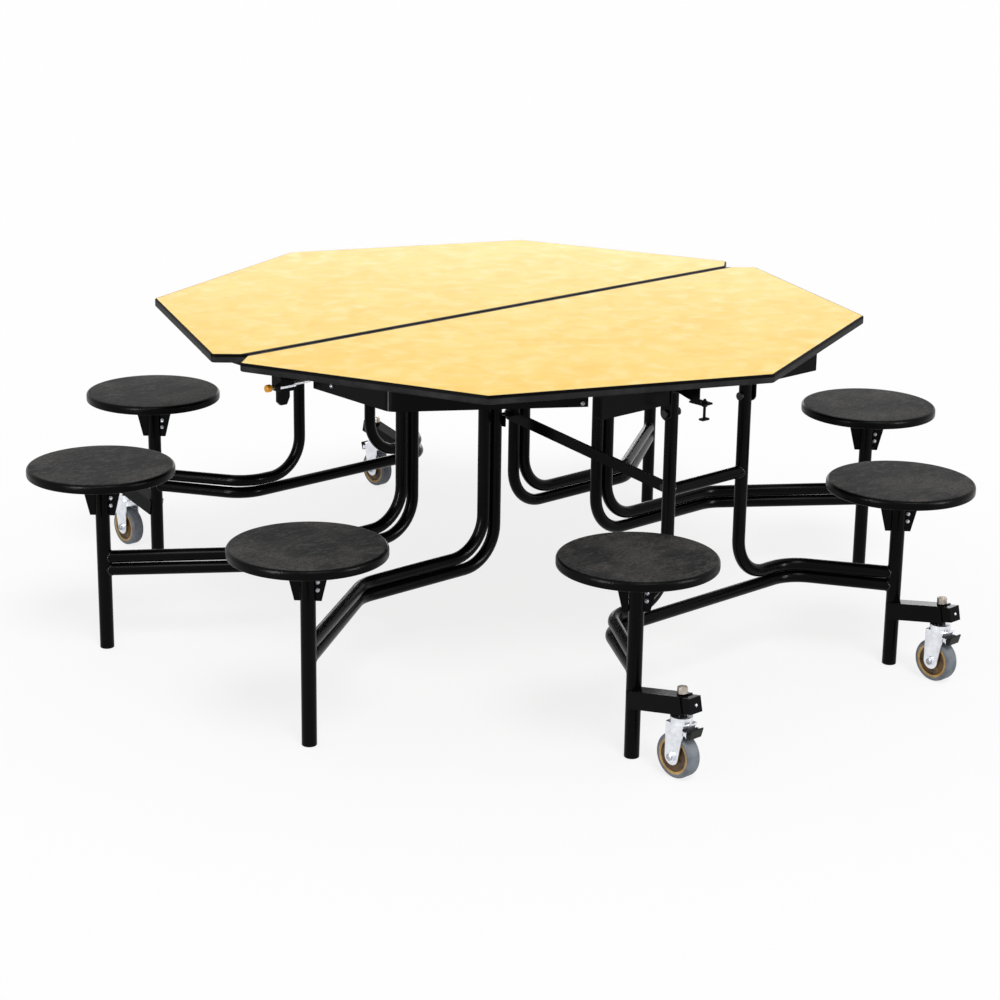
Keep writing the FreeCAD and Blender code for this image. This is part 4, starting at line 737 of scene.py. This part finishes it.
def look_from(place, yaw, pitch, roll, lens):
    """Camera at a place: yaw from +X, pitch below level and roll in degrees, lens in mm."""
    yaw, pitch, roll = map(math.radians, (yaw, pitch, roll))
    ahead = Vector((math.cos(yaw) * math.cos(pitch), math.sin(yaw) * math.cos(pitch),
                    -math.sin(pitch)))
    right = Vector((math.sin(yaw), -math.cos(yaw), 0))
    up = right.cross(ahead)
    right, up = (right * math.cos(roll) + up * math.sin(roll),
                 up * math.cos(roll) - right * math.sin(roll))
    lens_data = bpy.data.cameras.new("viewpoint")
    lens_data.lens, lens_data.sensor_width = lens, 36.0
    lens_data.clip_start, lens_data.clip_end = 0.1, 200.0
    camera = bpy.data.objects.new("viewpoint", lens_data)
    bpy.context.scene.collection.objects.link(camera)
    turn = Matrix((right, up, -ahead)).transposed().to_4x4()
    camera.matrix_world = Matrix.Translation(place) @ turn
    bpy.context.scene.camera = camera


def seen_directly(graph):
    """1 for a camera, glossy or transmission ray, else 0."""
    ray = graph.tree.nodes.new("ShaderNodeLightPath")
    camera, glossy, through = [Signal(graph, ray.outputs[name]) for name in (
        "Is Camera Ray", "Is Glossy Ray", "Is Transmission Ray")]
    return camera.maths("MAXIMUM", camera.maths("MAXIMUM", camera, glossy), through)


def build_floor():
    """Pale floor that keeps the shadow, mostly white of itself where it is seen directly."""
    reach, drop, glowing_share = 60, -0.0005, 0.8
    ground = bpy.data.meshes.new("studio_floor")
    ground.from_pydata([(-reach, -reach, drop), (reach, -reach, drop), (reach, reach, drop),
                        (-reach, reach, drop)], [], [(0, 1, 2, 3)])
    f = Finish("studio_white")
    f.shade(Base_Color=srgb(250, 250, 250), Roughness=0.9, Specular_IOR_Level=0.0)
    glow = f.node("ShaderNodeEmission", (), {"Color": (1, 1, 1, 1), "Strength": 1.0})[0]
    blend = f.tree.nodes.new("ShaderNodeMixShader")
    f.feed(blend.inputs[0], seen_directly(f) * glowing_share)
    f.tree.links.new(f.shader.outputs[0], blend.inputs[1])
    f.feed(blend.inputs[2], glow)
    f.tree.links.new(blend.outputs[0], f.tree.nodes["Material Output"].inputs["Surface"])
    ground.materials.append(f.material)
    floor = bpy.data.objects.new("studio_floor", ground)
    bpy.context.scene.collection.objects.link(floor)


def build_sky():
    """White surroundings: full strength where seen, less of it as light on the object."""
    light_level = 0.62
    world = bpy.data.worlds.new("studio")
    bpy.context.scene.world = world
    world.use_nodes = True
    sky = Graph()
    sky.tree = world.node_tree
    background = world.node_tree.nodes["Background"]
    sky.feed(background.inputs["Color"], (1, 1, 1, 1))
    sky.feed(background.inputs["Strength"], seen_directly(sky) * (1 - light_level) + light_level)


def key_light(direction, strength, spread):
    sun = bpy.data.lights.new("key", "SUN")
    sun.energy, sun.angle = strength, math.radians(spread)
    key = bpy.data.objects.new("key", sun)
    bpy.context.scene.collection.objects.link(key)
    key.rotation_euler = Vector(direction).to_track_quat("-Z", "Y").to_euler()


def softbox(name, place, target, wide, tall, watts):
    """Lamp that shows in the gloss alone, so the light on the surfaces stays level."""
    lamp = bpy.data.lights.new(name, "AREA")
    lamp.shape, lamp.size, lamp.size_y, lamp.energy = "RECTANGLE", wide, tall, watts
    holder = bpy.data.objects.new(name, lamp)
    bpy.context.scene.collection.objects.link(holder)
    holder.visible_diffuse = False
    holder.location = place
    holder.rotation_euler = (Vector(target) - Vector(place)).to_track_quat("-Z", "Y").to_euler()


bpy.context.scene.view_settings.view_transform = "Standard"
look_from((-3.694, -4.021, 1.945), yaw=47.53, pitch=17.08, roll=0.86, lens=86.4)
build_floor()
build_sky()
key_light((0.35, 0.75, -1.15), strength=1.5, spread=24)
softbox("left_strip", (-3.6, -0.6, 1.5), (0, 0, 0.4), wide=0.45, tall=2.6, watts=190)
softbox("right_strip", (1.2, -4.2, 1.6), (0, 0, 0.4), wide=0.45, tall=2.6, watts=190)
softbox("far_bank", (5.6, 5.9, 1.35), (0, 0, 0.7), wide=5.0, tall=1.1, watts=66)
